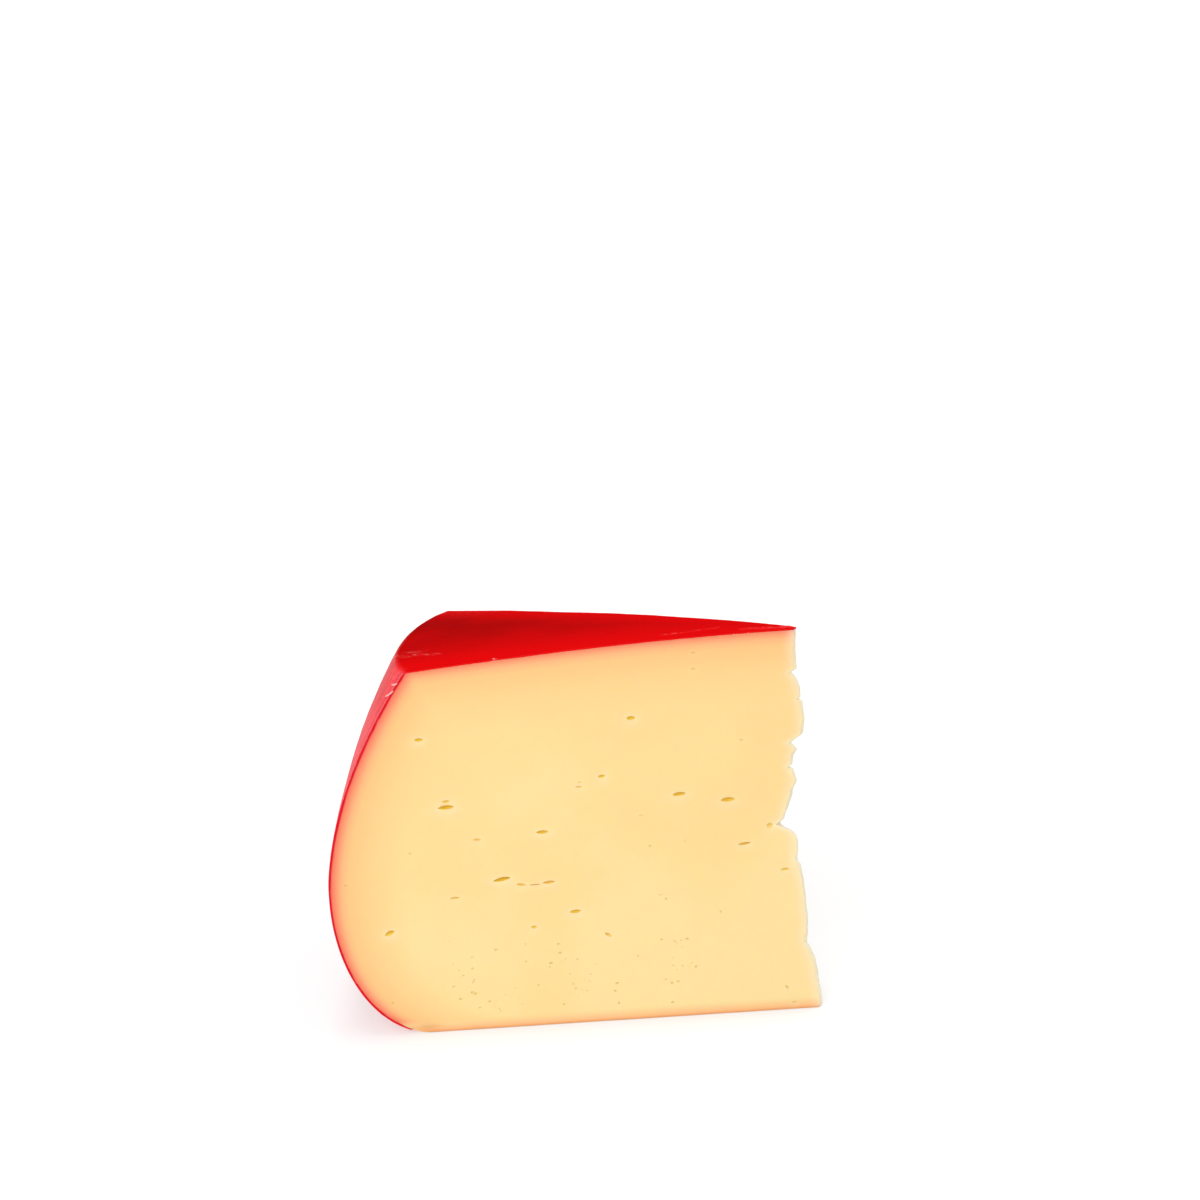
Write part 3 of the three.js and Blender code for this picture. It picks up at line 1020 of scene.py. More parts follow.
@dataclass(frozen=True)
class RedWax:
    """Paraffin cheese wax over a plastic coat, dipped and cooled: satin on top, worn on the rim.

    Light soaks into it at the cuts, so it glows there, as a painted glow. It whitens where it is folded
    or shaved. The rim has long pale pink marks and a pink grain where handling and turning wore it,
    which also stand for its sheen as a painted sheen, painted shade in the low parts of its folds,
    and a crimson painted shade along its cut edges.
    """

    name: str = "red_paraffin_wax"
    body: str = "#b90001"
    dark: str = "#af0001"
    bright: str = "#c50002"
    lit: str = "#ea0003"
    # Painted shade: a darker crimson along the rim's cut edges
    edge_shade: str = "#e00020"
    # The rim's pink wear, which also stands for its sheen as a painted sheen
    scuff_sheen: str = "#ff7a84"
    # Dark red: painted shade in the low parts of the folds, and the nicks
    shade_and_nick_red: str = "#8c0014"
    whitened: str = "#ffc4c0"
    roughness: float = 0.34
    rim_roughness: float = 0.50
    # Lumps per metre: of the clouds of colour, of the rim's fine grain of wear and painted sheen,
    # of the peel left by cooling
    cloud_scale: float = 45
    frost_scale: float = 1500
    peel_scale: float = 900
    # Lumps per millimetre round the rim, of its marks, folds and nicks, and how long these are
    mark_scale: float = 1.6
    fold_scale: float = 0.42
    nick_scale: float = 0.8
    mark_stretch: float = 30 * MM
    nick_shortness: float = 3.5
    fold_relief: float = 12.0
    relief: float = 0.20
    relief_depth: float = 0.12 * MM

    def material(self) -> bpy.types.Material:
        """Mixes the wax's material.

        Returns:
            The material.
        """
        material, tree, shader, place = start_material(self.name, {
            "IOR": 1.44, "Specular IOR Level": 0.16, "Subsurface Weight": 0.1,
            "Subsurface Radius": (1.0, 0.1, 0.1), "Subsurface Scale": 0.8 * MM,
        })
        rim, handled_and_sheen, from_cut, near_cut, edge, whitened = (
            add_node(tree, "Attribute", {"attribute_name": name}, {}).outputs["Fac"]
            for name in ("rim", "handled_and_sheen", "from_cut", "near_cut", "edge_shade", "whitened")
        )
        cloud = add_node(tree, "TexNoise", {}, {"Vector": place, "Scale": self.cloud_scale, "Detail": 4})
        tone = add_node(tree, "ValToRGB", {}, {"Fac": cloud})
        set_stops(tone, ((0.35, self.dark), (0.50, self.body), (0.68, self.bright)))

        # Pink marks up the rim, about 0.6 mm across and 30 mm long, in a fine grain: wear from handling,
        # and a painted sheen
        height = add_node(tree, "SeparateXYZ", {}, {0: place}).outputs["Z"]
        up = add_node(tree, "Math", {"operation": "DIVIDE"}, {0: height, 1: self.mark_stretch})
        along = add_node(tree, "CombineXYZ", {}, {"X": from_cut, "Y": up})
        scuff = add_node(tree, "TexNoise", {}, {"Vector": along, "Scale": self.mark_scale, "Detail": 2})
        mark = add_node(tree, "MapRange", SOFT, {"Value": scuff, "From Min": 0.50, "From Max": 0.75})
        grain = add_node(tree, "TexNoise", {}, {"Vector": place, "Scale": self.frost_scale, "Detail": 3})
        frost = add_node(tree, "MapRange", {}, {"Value": grain, "From Min": 0.31, "From Max": 0.74})
        frosted = add_node(tree, "Math", {"operation": "MAXIMUM"}, {0: frost, 1: mark})
        scuff_sheen_marks = add_node(tree, "Math", {"operation": "MULTIPLY"}, {0: frosted, 1: handled_and_sheen})

        # Folds of about 2.5 mm that the cut left beside it, darker as painted shade in their low parts, and
        # nicks of about 1.2 by 10 mm among them
        drag = add_node(tree, "TexNoise", {}, {"Vector": along, "Scale": self.fold_scale, "Detail": 2})
        folded = add_node(tree, "Math", {"operation": "MULTIPLY"}, {0: drag, 1: handled_and_sheen})
        fold_shade = add_node(
            tree, "MapRange", SOFT, {"Value": drag, "From Min": 0.46, "From Max": 0.38, "To Max": 0.45},
        )
        stretch = (1.0, self.nick_shortness, 1.0)
        short = add_node(tree, "VectorMath", {"operation": "MULTIPLY"}, {0: along, 1: stretch})
        nick = add_node(tree, "TexNoise", {}, {"Vector": short, "Scale": self.nick_scale, "Detail": 1})
        nicked = add_node(
            tree, "MapRange", SOFT, {"Value": nick, "From Min": 0.57, "From Max": 0.66, "To Max": 0.85},
        )
        deepest = add_node(tree, "Math", {"operation": "MAXIMUM"}, {0: fold_shade, 1: nicked})
        fold_shade_and_nicks = add_node(tree, "Math", {"operation": "MULTIPLY"}, {0: deepest, 1: handled_and_sheen})

        # Painted glow near the cuts, the pink wear with its painted sheen, painted shade in the folds with
        # the nicks, painted shade along the cut edge, and the whitening
        layers = ((near_cut, self.lit), (scuff_sheen_marks, self.scuff_sheen), (fold_shade_and_nicks, self.shade_and_nick_red),
                  (edge, self.edge_shade), (whitened, self.whitened))
        tree.links.new(layered(tree, tone.outputs["Color"], layers), shader.inputs["Base Color"])

        # The peel, about 1 mm across, with the relief of the marks and folds
        peel = add_node(tree, "TexNoise", {}, {"Vector": place, "Scale": self.peel_scale, "Detail": 3})
        raised = add_node(tree, "Math", {"operation": "ADD"}, {0: peel, 1: scuff_sheen_marks})
        relief = add_node(
            tree, "Math", {"operation": "MULTIPLY_ADD"}, {0: folded, 1: self.fold_relief, 2: raised},
        )
        bump = add_node(
            tree, "Bump", {}, {"Strength": self.relief, "Distance": self.relief_depth, "Height": relief},
        )
        tree.links.new(bump.outputs["Normal"], shader.inputs["Normal"])
        satin = add_node(
            tree, "MapRange", {}, {"Value": rim, "To Min": self.roughness, "To Max": self.rim_roughness},
        )
        tree.links.new(satin.outputs[0], shader.inputs["Roughness"])
        return material


# The two pieces


@dataclass
class PasteBody:
    """The paste of the wedge, with its knife cuts, eyes, pinholes and torn point."""

    wheel: Wheel
    cuts: Cuts
    coat: Coat
    torn: TornPoint
    finish: CutPaste = field(default_factory=CutPaste)
    outline_spacing: float = 1.6 * MM
    turn_step: float = math.radians(1.0)
    sharp: float = 35
    weld: float = 0.004 * MM
    allowance: float = 1.5 * MM
    # The knife's slabs: their reach along each cut, how far they stand out below and above it, their mesh
    front_reach: tuple[float, float] = (-150 * MM, 20 * MM)
    back_reach: tuple[float, float] = (-160 * MM, 20 * MM)
    past_ends: float = 5 * MM
    past_face: float = 2 * MM
    knife_spacing: float = 1.0 * MM
    # The face that it left, in millimetres: behind the wax's edge, its waves, its drag and its dips
    behind_wax: float = 0.09
    least_behind: float = 0.02
    knife_wave: float = 0.06
    wave_size: float = 34 * MM
    knife_drag: float = 0.015
    drag_size: tuple[float, float, float] = (9 * MM, 1, 2.2 * MM)
    eye_dip: float = 0.12
    # How the painted red glow under the wax is paler under the top and at the foot
    paler_under_top: float = 0.7 * MM
    paler_at_foot: float = 0.3
    side_levels: int = 200
    steepest: float = 3
    # Where paint for the hollows starts: under the wax, above the base and behind a cut, and its span
    under_wax: float = 0.2 * MM
    above_base: float = 0.4 * MM
    sunk_from: float = 0.08 * MM
    sunk_span: float = 0.22 * MM
    # How far behind a cut the gold of an eye, the painted shade of a pinhole and the painted highlight
    # below an eye may be painted
    eye_depth: float = 3 * MM
    pin_depth: float = 0.7 * MM
    lit_lip_depth: float = 0.4 * MM
    lit_lip_strength: float = 0.6
    # The part of an eye's opening over which painted shade deepens its colour towards the upper wall,
    # and where that starts
    upper_shade_span: float = 0.3
    upper_shade_from: float = 0.4
    # The dry patch at the foot: X from the tip, height and size in millimetres, strength and depth
    patch: tuple[float, float] = (-114.0, 1.7)
    patch_size: tuple[float, float] = (3.8, 1.3)
    patch_strength: float = 0.5
    patch_depth: float = 0.5 * MM
    # X from the tip, height, width, opening, tilt and depth of colour, in millimetres and degrees
    front_eyes: tuple[Eye, ...] = (
        Eye(-53.4, 95.4, 2.8, 1.3, 0, 1.0),
        Eye(-114.2, 91.3, 2.8, 1.1),
        Eye(-61.9, 78.1, 2.5, 1.1, 4, 0.85),
        Eye(-68.4, 76.6, 1.3, 0.5, 0, 0.5),
        Eye(-68.6, 75.2, 2.4, 0.6, -4, 0.6),
        Eye(-39.0, 71.6, 4.1, 1.2, 5),
        Eye(-24.4, 69.2, 4.4, 1.4, 2, 0.95),
        Eye(-107.0, 72.5, 2.6, 0.8, 2, 0.9),
        Eye(-107.0, 70.7, 4.8, 1.25, 3),
        Eye(-79.3, 61.8, 3.8, 1.1, 2),
        Eye(-98.3, 60.4, 2.6, 0.8, 0, 0.6),
        Eye(-19.1, 55.1, 4.0, 0.9, 6, 0.75),
        Eye(-91.3, 47.7, 5.2, 1.3, 10),
        Eye(-85.6, 45.7, 3.0, 0.9, -9, 0.6),
        Eye(-81.6, 45.5, 3.4, 0.4, 2, 0.3),
        Eye(-77.5, 46.0, 3.8, 1.0, 5, 0.8),
        Eye(-105.0, 42.6, 3.0, 0.8, 3, 0.55),
        Eye(-69.7, 36.3, 3.5, 1.2, 4),
        Eye(-82.0, 32.0, 2.2, 1.0, 0, 0.85),
        Eye(-59.8, 28.2, 2.7, 1.0, -32, 0.7),
        Eye(-124.2, 32.6, 3.2, 1.5, 26),
        Eye(-50.2, 65.5, 1.6, 0.5, 0, 0.2),
        Eye(-44.3, 40.2, 1.6, 0.5, 0, 0.2),
        Eye(-35.5, 114.4, 1.5, 0.4, 0, 0.2),
        Eye(-35.4, 109.6, 1.4, 0.5, 0, 0.2),
        Eye(-20.8, 87.6, 1.6, 0.6, 0, 0.3),
        Eye(-11.5, 60.4, 2.3, 2.0, 0, 0.5),
        Eye(-6.5, 46.2, 3.0, 1.0, 3, 0.6),
        Eye(-4.5, 7.4, 2.0, 0.8, -42, 0.6),
        Eye(-2.2, 2.3, 2.0, 0.7, 0, 0.5),
    )
    # The eyes of the second cut, and between which sizes they are drawn
    back_eye_count: int = 17
    back_eye_seed: int = 7
    back_eyes_from: float = -14
    back_eyes_to: float = -132
    back_heights: tuple[float, float] = (12, 100)
    back_widths: tuple[float, float] = (2, 4.8)
    back_openings: tuple[float, float] = (1, 1.4)
    back_tilts: tuple[float, float] = (-20, 20)
    # X from the tip and height of the pinholes that stand alone, in millimetres
    pinholes: tuple[tuple[float, float], ...] = (
        (-106.1, 21.8), (-100.4, 19.9), (-104.1, 17.3), (-106.0, 14.4), (-100.6, 12.2), (-99.7, 11.7),
        (-104.1, 10.3), (-98.4, 7.1), (-95.4, 8.9), (-94.0, 7.4), (-92.6, 6.4), (-86.6, 9.5),
        (-85.9, 7.6), (-77.1, 20.2), (-42.3, 12.6), (-40.4, 11.3), (-39.0, 15.5), (-37.3, 16.7),
        (-35.4, 16.6), (-33.1, 16.2), (-38.6, 11.7), (-124.0, 10.4), (-69.0, 8.3), (-66.3, 10.4),
        (-57.8, 9.8), (-56.6, 5.8), (-40.1, 4.9), (-136.1, 48.3),
    )
    pinhole_seed: int = 41
    # Their radius in millimetres, and how much wider and lower than round they are
    pin_radius: tuple[float, float] = (0.27, 0.46)
    pin_stretch: tuple[float, float] = (1.0, 1.7)
    pin_inwards: float = 0.95
    pin_height: tuple[float, float] = (0.8, 1.1)
    clusters: tuple[Cluster, ...] = (
        Cluster((-41, -34), (16, 28), 8),
        Cluster((-75, -67), (4, 24), 9),
        Cluster((-107, -99), (14, 29), 6),
        Cluster((-96, -50), (5, 30), 14),
        Cluster((-120, -20), (8, 60), 10),
    )

    def build(self) -> bpy.types.Object:
        """Models the paste.

        Returns:
            The finished mesh object.
        """
        body = self.turned_sector()
        self.cuts.slump(self.wheel, body)
        self.rough_cut(body)
        carve(body, self.front_knife())
        carve(body, self.back_knife())
        carve(body, self.torn.tool(self.cuts.tip))
        carve(body, self.hollows())
        with editing(body):
            bpy.ops.mesh.remove_doubles(threshold=self.weld)
            bpy.ops.mesh.normals_make_consistent(inside=False)
        return settle(body, "cheese_paste")

    def turned_sector(self) -> bpy.types.Object:
        """Turns the outline under the coat about the wheel's axis, wide enough for the wedge.

        Returns:
            A closed sector of the wheel.
        """
        outline = self.wheel.under_coat(self.wheel.outline(self.outline_spacing), self.coat)
        sector = chain(self.cuts.axis, outline, self.cuts.sector_from)
        with editing(sector):
            bpy.ops.mesh.select_all(action="DESELECT")
        corners = sector.data.vertices
        for end in (corners[0], corners[len(corners) - 1]):
            end.select = True
        with editing(sector, select_all=False):
            bpy.ops.mesh.edge_face_add()
        with editing(sector):
            turn_about(self.cuts.axis, self.cuts.sector_to - self.cuts.sector_from, self.turn_step)
            bpy.ops.mesh.select_all(action="SELECT")
            bpy.ops.mesh.remove_doubles(threshold=SAME_PLACE)
            bpy.ops.mesh.fill_holes(sides=0)
            bpy.ops.mesh.normals_make_consistent(inside=False)
        return sector

    def rough_cut(self, body: bpy.types.Object) -> None:
        """Saws the sector down to a little more than the wedge.

        Args:
            body: The sector.
        """
        for point, outwards in self.cuts.planes(self.wheel, self.allowance):
            with editing(body):
                bpy.ops.mesh.bisect(plane_co=point, plane_no=outwards, use_fill=True, clear_outer=True)

    def knife(self, cut: Matrix, inwards: float, eyes: Sequence[Eye],
              reach: tuple[float, float]) -> bpy.types.Object:
        """Builds a slab whose face is the relief that the knife left, just behind the wax's cut edge.

        Args:
            cut: The cut's frame.
            inwards: 1 where +Y of that frame points into the cheese, else -1.
            eyes: The eyes on it, round which the face dips.
            reach: The least and the greatest X of the slab in that frame.

        Returns:
            The closed slab, which lies outside the cut.
        """
        low, high = reach
        tall = self.wheel.top + 2 * self.past_ends
        bpy.ops.mesh.primitive_grid_add(
            x_subdivisions=int((high - low) / self.knife_spacing),
            y_subdivisions=int(tall / self.knife_spacing), size=1,
        )
        slab = bpy.context.object
        points = points_of(slab)
        flat = np.stack([low + (points[:, 0] + 0.5) * (high - low), np.zeros(len(points)),
                         (points[:, 1] + 0.5) * tall - self.past_ends], axis=1)
        wave = (self.knife_wave * rough(flat, self.wave_size, 3 + inwards)
                + self.knife_drag * rough(flat, self.drag_size, 5))
        dip = sum((self.eye_dip * eye.gold * eye.lit_lip(flat) for eye in eyes), np.zeros(len(flat)))
        face = np.clip(self.behind_wax + wave, self.least_behind, None) + dip
        flat[:, 1] = face * inwards * MM
        move_points(slab, flat)
        draw_out(slab, (0, -inwards * (self.allowance + self.past_face), 0))
        slab.data.transform(cut)
        return slab

    def front_knife(self) -> bpy.types.Object:
        """Builds the slab that the front cut takes away."""
        return self.knife(self.cuts.front_cut(), 1, self.front_eyes, self.front_reach)

    def back_knife(self) -> bpy.types.Object:
        """Builds the slab that the second cut takes away."""
        return self.knife(self.cuts.back_cut(self.wheel), -1, self.back_eyes(), self.back_reach)

    def back_eyes(self) -> list[Eye]:
        """Draws the eyes of the second cut, which are where the solid has them.

        Returns:
            The eyes, in the frame of the second cut.
        """
        draw = Draw(self.back_eye_seed)
        spacing = (self.back_eyes_from - self.back_eyes_to) / self.back_eye_count
        eyes = []
        for i in range(self.back_eye_count):
            along = self.back_eyes_from - (i + draw.share()) * spacing
            ranges = (self.back_heights, self.back_widths, self.back_openings, self.back_tilts)
            eyes.append(Eye(along, *(draw.between(*sizes) for sizes in ranges)))
        return eyes

    def hollows(self) -> bpy.types.Object:
        """Models every eye and pinhole of both cuts as one tool.

        Returns:
            The lenses, joined.
        """
        front, back = self.cuts.front_cut(), self.cuts.back_cut(self.wheel)
        lenses = [eye.lens(front, 1) for eye in self.front_eyes]
        lenses += [eye.lens(back, -1) for eye in self.back_eyes()]
        draw = Draw(self.pinhole_seed)
        for along, height in self.pinholes:
            lenses.append(self.pinhole(draw, Vector((along, 0, height)) * MM, front))
        for cut in (front, back):
            for cluster in self.clusters:
                for _ in range(cluster.count):
                    place = Vector((draw.between(*cluster.along), 0, draw.between(*cluster.height))) * MM
                    lenses.append(self.pinhole(draw, place, cut))
        return join(lenses)

    def pinhole(self, draw: Draw, place: Vector, cut: Matrix) -> bpy.types.Object:
        """Models one pinhole.

        Args:
            draw: Where its size comes from.
            place: Where it lies, in the cut's frame.
            cut: The frame of the cut.

        Returns:
            The closed pin.
        """
        radius = draw.between(*self.pin_radius) * MM
        bpy.ops.mesh.primitive_uv_sphere_add(segments=8, ring_count=6, radius=radius)
        pin = bpy.context.object
        with editing(pin):
            stretch = (draw.between(*self.pin_stretch), self.pin_inwards, draw.between(*self.pin_height))
            bpy.ops.transform.resize(value=stretch, center_override=(0, 0, 0))
        pin.data.transform(cut @ Matrix.Translation(place))
        return pin

    def dress(self, body: bpy.types.Object) -> None:
        """Paints the painted red glow near the wax, the dry rind and patch, the torn paste, the painted
        highlights and the painted shade in the hollows, and gives it its finish.

        Args:
            body: The finished mesh object.
        """
        points = points_of(body)
        from_wax = self.from_wax(points)
        paint(body, "from_wax", from_wax / MM)
        paint(body, "from_base", points[:, 2] / MM)

        in_front = points - np.array(self.cuts.tip)
        in_back = self.cuts.in_back_frame(self.wheel, points)
        behind_front = in_front[:, 1] - self.behind_wax * MM
        behind_back = -in_back[:, 1] - self.behind_wax * MM
        hollow, deep, pin, lit_lip = (np.zeros(len(points)) for _ in range(4))
        for places, depth, eyes in ((in_front, behind_front, self.front_eyes),
                                    (in_back, behind_back, self.back_eyes())):
            sunk = np.clip((depth - self.sunk_from) / self.sunk_span, 0, 1)
            # Gold painted in each eye, partly painted shade, and deeper painted shade on its upper wall
            for eye in eyes:
                within = eye.covers(places) & (depth < self.eye_depth)
                above = (places[:, 2] / MM - eye.height) / (self.upper_shade_span * eye.opening)
                upper = np.clip(above + self.upper_shade_from, 0, 1)
                hollow = np.where(within, np.maximum(hollow, sunk * eye.gold), hollow)
                deep = np.where(within, np.maximum(deep, sunk * upper * eye.gold), deep)
            # Painted shade in the pinholes, on what lies a little behind the cut
            pin = np.maximum(pin, np.where(depth < self.pin_depth, sunk, 0.0))
            # Painted highlight on the lit lower lip below each eye
            lit_lips = sum((eye.gold * eye.lit_lip(places) for eye in eyes), np.zeros(len(points)))
            lit_lip += (depth < self.lit_lip_depth) * lit_lips

        inside = (from_wax > self.under_wax) & (points[:, 2] > self.above_base)
        solid = inside & (hollow == 0)
        near_break = in_front[:, 0] > self.torn.reach
        # The dry, pale break, and a painted highlight beside its edge
        pale = self.torn.paleness(in_front, np.minimum(behind_front, behind_back))
        across, up = ((in_front[:, axis] / MM - middle) / size
                      for axis, middle, size in zip((0, 2), self.patch, self.patch_size))
        dry = np.exp(-(across ** 2 + up ** 2)) * self.patch_strength * (behind_front < self.patch_depth)
        for name, values in (("torn", np.where(near_break & solid, pale, 0.0)),
                             ("pin", np.where(~near_break & solid, pin, 0.0)),
                             ("hollow", np.where(inside, hollow, 0.0)),
                             ("deep", np.where(inside, deep, 0.0)),
                             ("lit_lip", np.clip(lit_lip, 0, 1) * self.lit_lip_strength),
                             ("dry", dry)):
            paint(body, name, values)
        wear(body, self.finish.material(), self.sharp)

    def from_wax(self, points: Array) -> Array:
        """Gives how deep places lie under the coat of the top and the rim.

        Args:
            points: One row of X, Y and Z for each place.

        Returns:
            The distance from the coat at each place.
        """
        radius, _ = self.cuts.polar(points)
        height = points[:, 2]
        below_top = self.wheel.crown_height(radius) - height
        levels = np.linspace(0, self.wheel.shoulder_height, self.side_levels)
        lean = np.gradient(self.wheel.side_radius(levels), levels)
        steepness = np.interp(height, levels, np.clip(lean, -self.steepest, self.steepest))
        from_side = (self.wheel.side_radius(height) - radius) / np.sqrt(1 + steepness ** 2)
        under_top = below_top - self.coat.top
        under_top = np.where(under_top > 0, under_top + self.paler_under_top, 0)
        low = np.clip(1 - height / self.wheel.bulge_height, 0, 1)
        from_side = (from_side - self.coat.side) * (1 + self.paler_at_foot * low)
        return np.clip(np.minimum(under_top, from_side), 0, None)


@dataclass
class WaxRind:
    """The red wax on the outside of the wheel, cut through with the paste."""

    wheel: Wheel
    cuts: Cuts
    coat: Coat
    torn: TornPoint
    finish: RedWax = field(default_factory=RedWax)
    outline_spacing: float = 0.95 * MM
    turn_step: float = math.radians(0.4)
    sharp: float = 40
    # Its thickness: how uneven it is, over what length, how far it goes into the paste, and its limit
    unevenness: float = 0.2
    uneven_size: float = 6 * MM
    overlap: float = 0.12 * MM
    most: float = 1.5
    # The slow waves and the ripple of a dipped coat, in millimetres, and where they calm down
    wave: float = 0.13
    wave_size: float = 24 * MM
    ripple: float = 0.03
    ripple_size: float = 4.0 * MM
    calm_above_base: float = 6 * MM
    calm_behind_cut: float = 3 * MM
    # The strip that came off along the base: its reach, its raggedness in millimetres and its size
    strip_reach: tuple[float, float] = (-160 * MM, 20 * MM)
    strip_steps: int = 180
    strip_bottom: float = -2 * MM
    strip_depth: float = 8 * MM
    base_setback: float = 1.6 * MM
    base_film_height: float = 1.4 * MM
    ragged: tuple[float, float] = (0.5, 0.3)
    ragged_sizes: tuple[float, float] = (7 * MM, 1.8 * MM)
    # How far the painted glow of light comes in from each cut, and how far the painted shade of the
    # crimson edge goes, in millimetres
    lit_from_front: float = 23
    lit_from_back: float = 11
    edge_shade_reach: float = 0.3
    # Where the rim starts, measured from the shoulder
    rim_from: float = 0.1 * MM
    rim_span: float = 1.2 * MM
    # Where handling wore it, which also carries the rim's painted sheen: in patches, and beside the
    # cuts, more so high up, in millimetres
    patchy: float = 0.09
    patch_contrast: float = 1.2
    patch_size: float = 22 * MM
    scuff_sheen_low: float = 0.36
    scuff_sheen_high: float = 0.42
    high_from: float = 70
    high_span: float = 35
    scuff_sheen_reach: float = 14
    # The white specks of a crease
    speck_contrast: float = 3.2
    speck_least: float = 0.2
    speck_size: float = 1.1 * MM
    creases: tuple[Crease, ...] = (
        Crease(
            ((-120.1, 18.9), (-117.0, 15.6), (-114.6, 17.0), (-111.4, 15.0), (-108.1, 14.0)),
            0.08, 0.9, 0.17,
        ),
        Crease(((-117.8, 21.0), (-115.0, 19.6), (-112.0, 19.2)), 0.04, 0.8, 0.10),
        Crease(((-108.1, 13.8), (-102.0, 11.4), (-96.0, 9.7)), 0.02, 0.9),
        Crease(((-92.8, 0.5), (-92.2, 0.6)), 0.15, 0.5, 0.7),
        Crease(((-44.0, 4.8), (-39.0, 5.1), (-32.4, 6.1), (-26.8, 7.1)), 0.12, 0.6, 0.11),
        Crease(((-20.4, 2.8), (-18.5, 3.1), (-16.8, 3.0)), 0.18, 0.7, 0.12),
        Crease(((-15.6, 2.1), (-11.3, 1.5), (-5.9, 1.9)), -0.18, 0.5),
        Crease(((-15.0, 3.3), (-10.5, 2.7), (-5.8, 2.9)), 0.14, 0.6, 0.11),
        Crease(((-59.2, 25.1), (-57.2, 25.0)), -0.14, 2.2),
    )
    crease_reach: float = 3 * MM
    shavings: tuple[Shaving, ...] = (
        Shaving(-120.4, 108.0, 1.5, 0.42, 12),
        Shaving(-121.9, 105.3, 2.7, 0.40, 34),
    )

    def build(self) -> bpy.types.Object:
        """Models the wax.

        Returns:
            The finished mesh object.
        """
        rind = chain(self.cuts.axis, self.wheel.outline(self.outline_spacing), self.cuts.sector_from)
        with editing(rind):
            turn_about(self.cuts.axis, self.cuts.sector_to - self.cuts.sector_from, self.turn_step)
            bpy.ops.mesh.select_all(action="SELECT")
            bpy.ops.mesh.remove_doubles(threshold=SAME_PLACE)
        self.cuts.slump(self.wheel, rind)
        self.trim(rind)
        self.refine(rind)
        with editing(rind):
            bpy.ops.mesh.normals_make_consistent(inside=False)
        self.face_outwards(rind)
        self.uneven(rind)
        self.thicken(rind)
        front = self.cuts.front_cut()
        carve(rind, self.torn.tool(self.cuts.tip))
        carve(rind, self.scraper(front, 1))
        carve(rind, self.scraper(self.cuts.back_cut(self.wheel), -1))
        return settle(join([rind] + [shaving.build(front) for shaving in self.shavings]), "wax_rind")

    def trim(self, rind: bpy.types.Object) -> None:
        """Cuts the wax along both cuts.

        Args:
            rind: The wax as a thin skin.
        """
        for point, outwards in self.cuts.planes(self.wheel):
            with editing(rind):
                bpy.ops.mesh.bisect(plane_co=point, plane_no=outwards, clear_outer=True)

    def refine(self, rind: bpy.types.Object) -> None:
        """Makes the mesh finer where the top is creased.

        Args:
            rind: The wax as a thin skin.
        """
        with editing(rind):
            bpy.ops.mesh.select_all(action="DESELECT")
        places = np.array([face.center for face in rind.data.polygons]) - np.array(self.cuts.tip)
        near = np.zeros(len(places), dtype=bool)
        for crease in self.creases:
            near |= crease.closeness(places) > math.exp(-(self.crease_reach / (crease.width * MM)) ** 2)
        near &= self.wheel.on_top(places)
        rind.data.polygons.foreach_set("select", near)
        with editing(rind, select_all=False):
            bpy.ops.mesh.subdivide(number_cuts=2)

    def face_outwards(self, rind: bpy.types.Object) -> None:
        """Turns the skin's faces to the outside if they point inwards.

        Args:
            rind: The wax as a thin skin.
        """
        top = max(rind.data.polygons, key=lambda face: face.center.z)
        if top.normal.z < 0:
            with editing(rind):
                bpy.ops.mesh.flip_normals()

    def uneven(self, rind: bpy.types.Object) -> None:
        """Gives the wax the slow waves of a dipped coat, and its creases and dents.

        Args:
            rind: The wax as a thin skin.
        """
        points = points_of(rind)
        normals = np.empty(len(points) * 3)
        rind.data.vertices.foreach_get("normal", normals)
        normals = normals.reshape(-1, 3)
        wave = (self.wave * rough(points, self.wave_size, 11)
                + self.ripple * rough(points, self.ripple_size, 12))
        above_base = np.clip(points[:, 2] / self.calm_above_base, 0, 1)
        behind_cut = np.clip((points[:, 1] - self.cuts.tip.y) / self.calm_behind_cut, 0, 1)
        relief = wave * above_base * behind_cut
        on_top = self.wheel.on_top(points)
        for crease in self.creases:
            relief += crease.height * crease.closeness(points - np.array(self.cuts.tip)) * on_top
        move_points(rind, points + normals * (relief * MM)[:, None])

    def thicken(self, rind: bpy.types.Object) -> None:
        """Gives the skin its thickness on each side.

        Args:
            rind: The wax as a thin skin.
        """
        points = points_of(rind)
        radius, _ = self.cuts.polar(points)
        section = np.stack([radius, points[:, 2]], axis=1)
        uneven = 1 + self.unevenness * rough(points, self.uneven_size, 13)
        thick = self.wheel.thickness(section, self.coat) * uneven
        most = max(self.coat.side, self.coat.top) * self.most
        group = rind.vertex_groups.new(name="thickness")
        for i, share in enumerate((thick + self.overlap) / most):
            group.add([i], float(share), "REPLACE")
        apply_modifier(rind, "SOLIDIFY", thickness=most, offset=-1, use_even_offset=True,
                       vertex_group="thickness", thickness_vertex_group=0.0)
        rind.vertex_groups.clear()

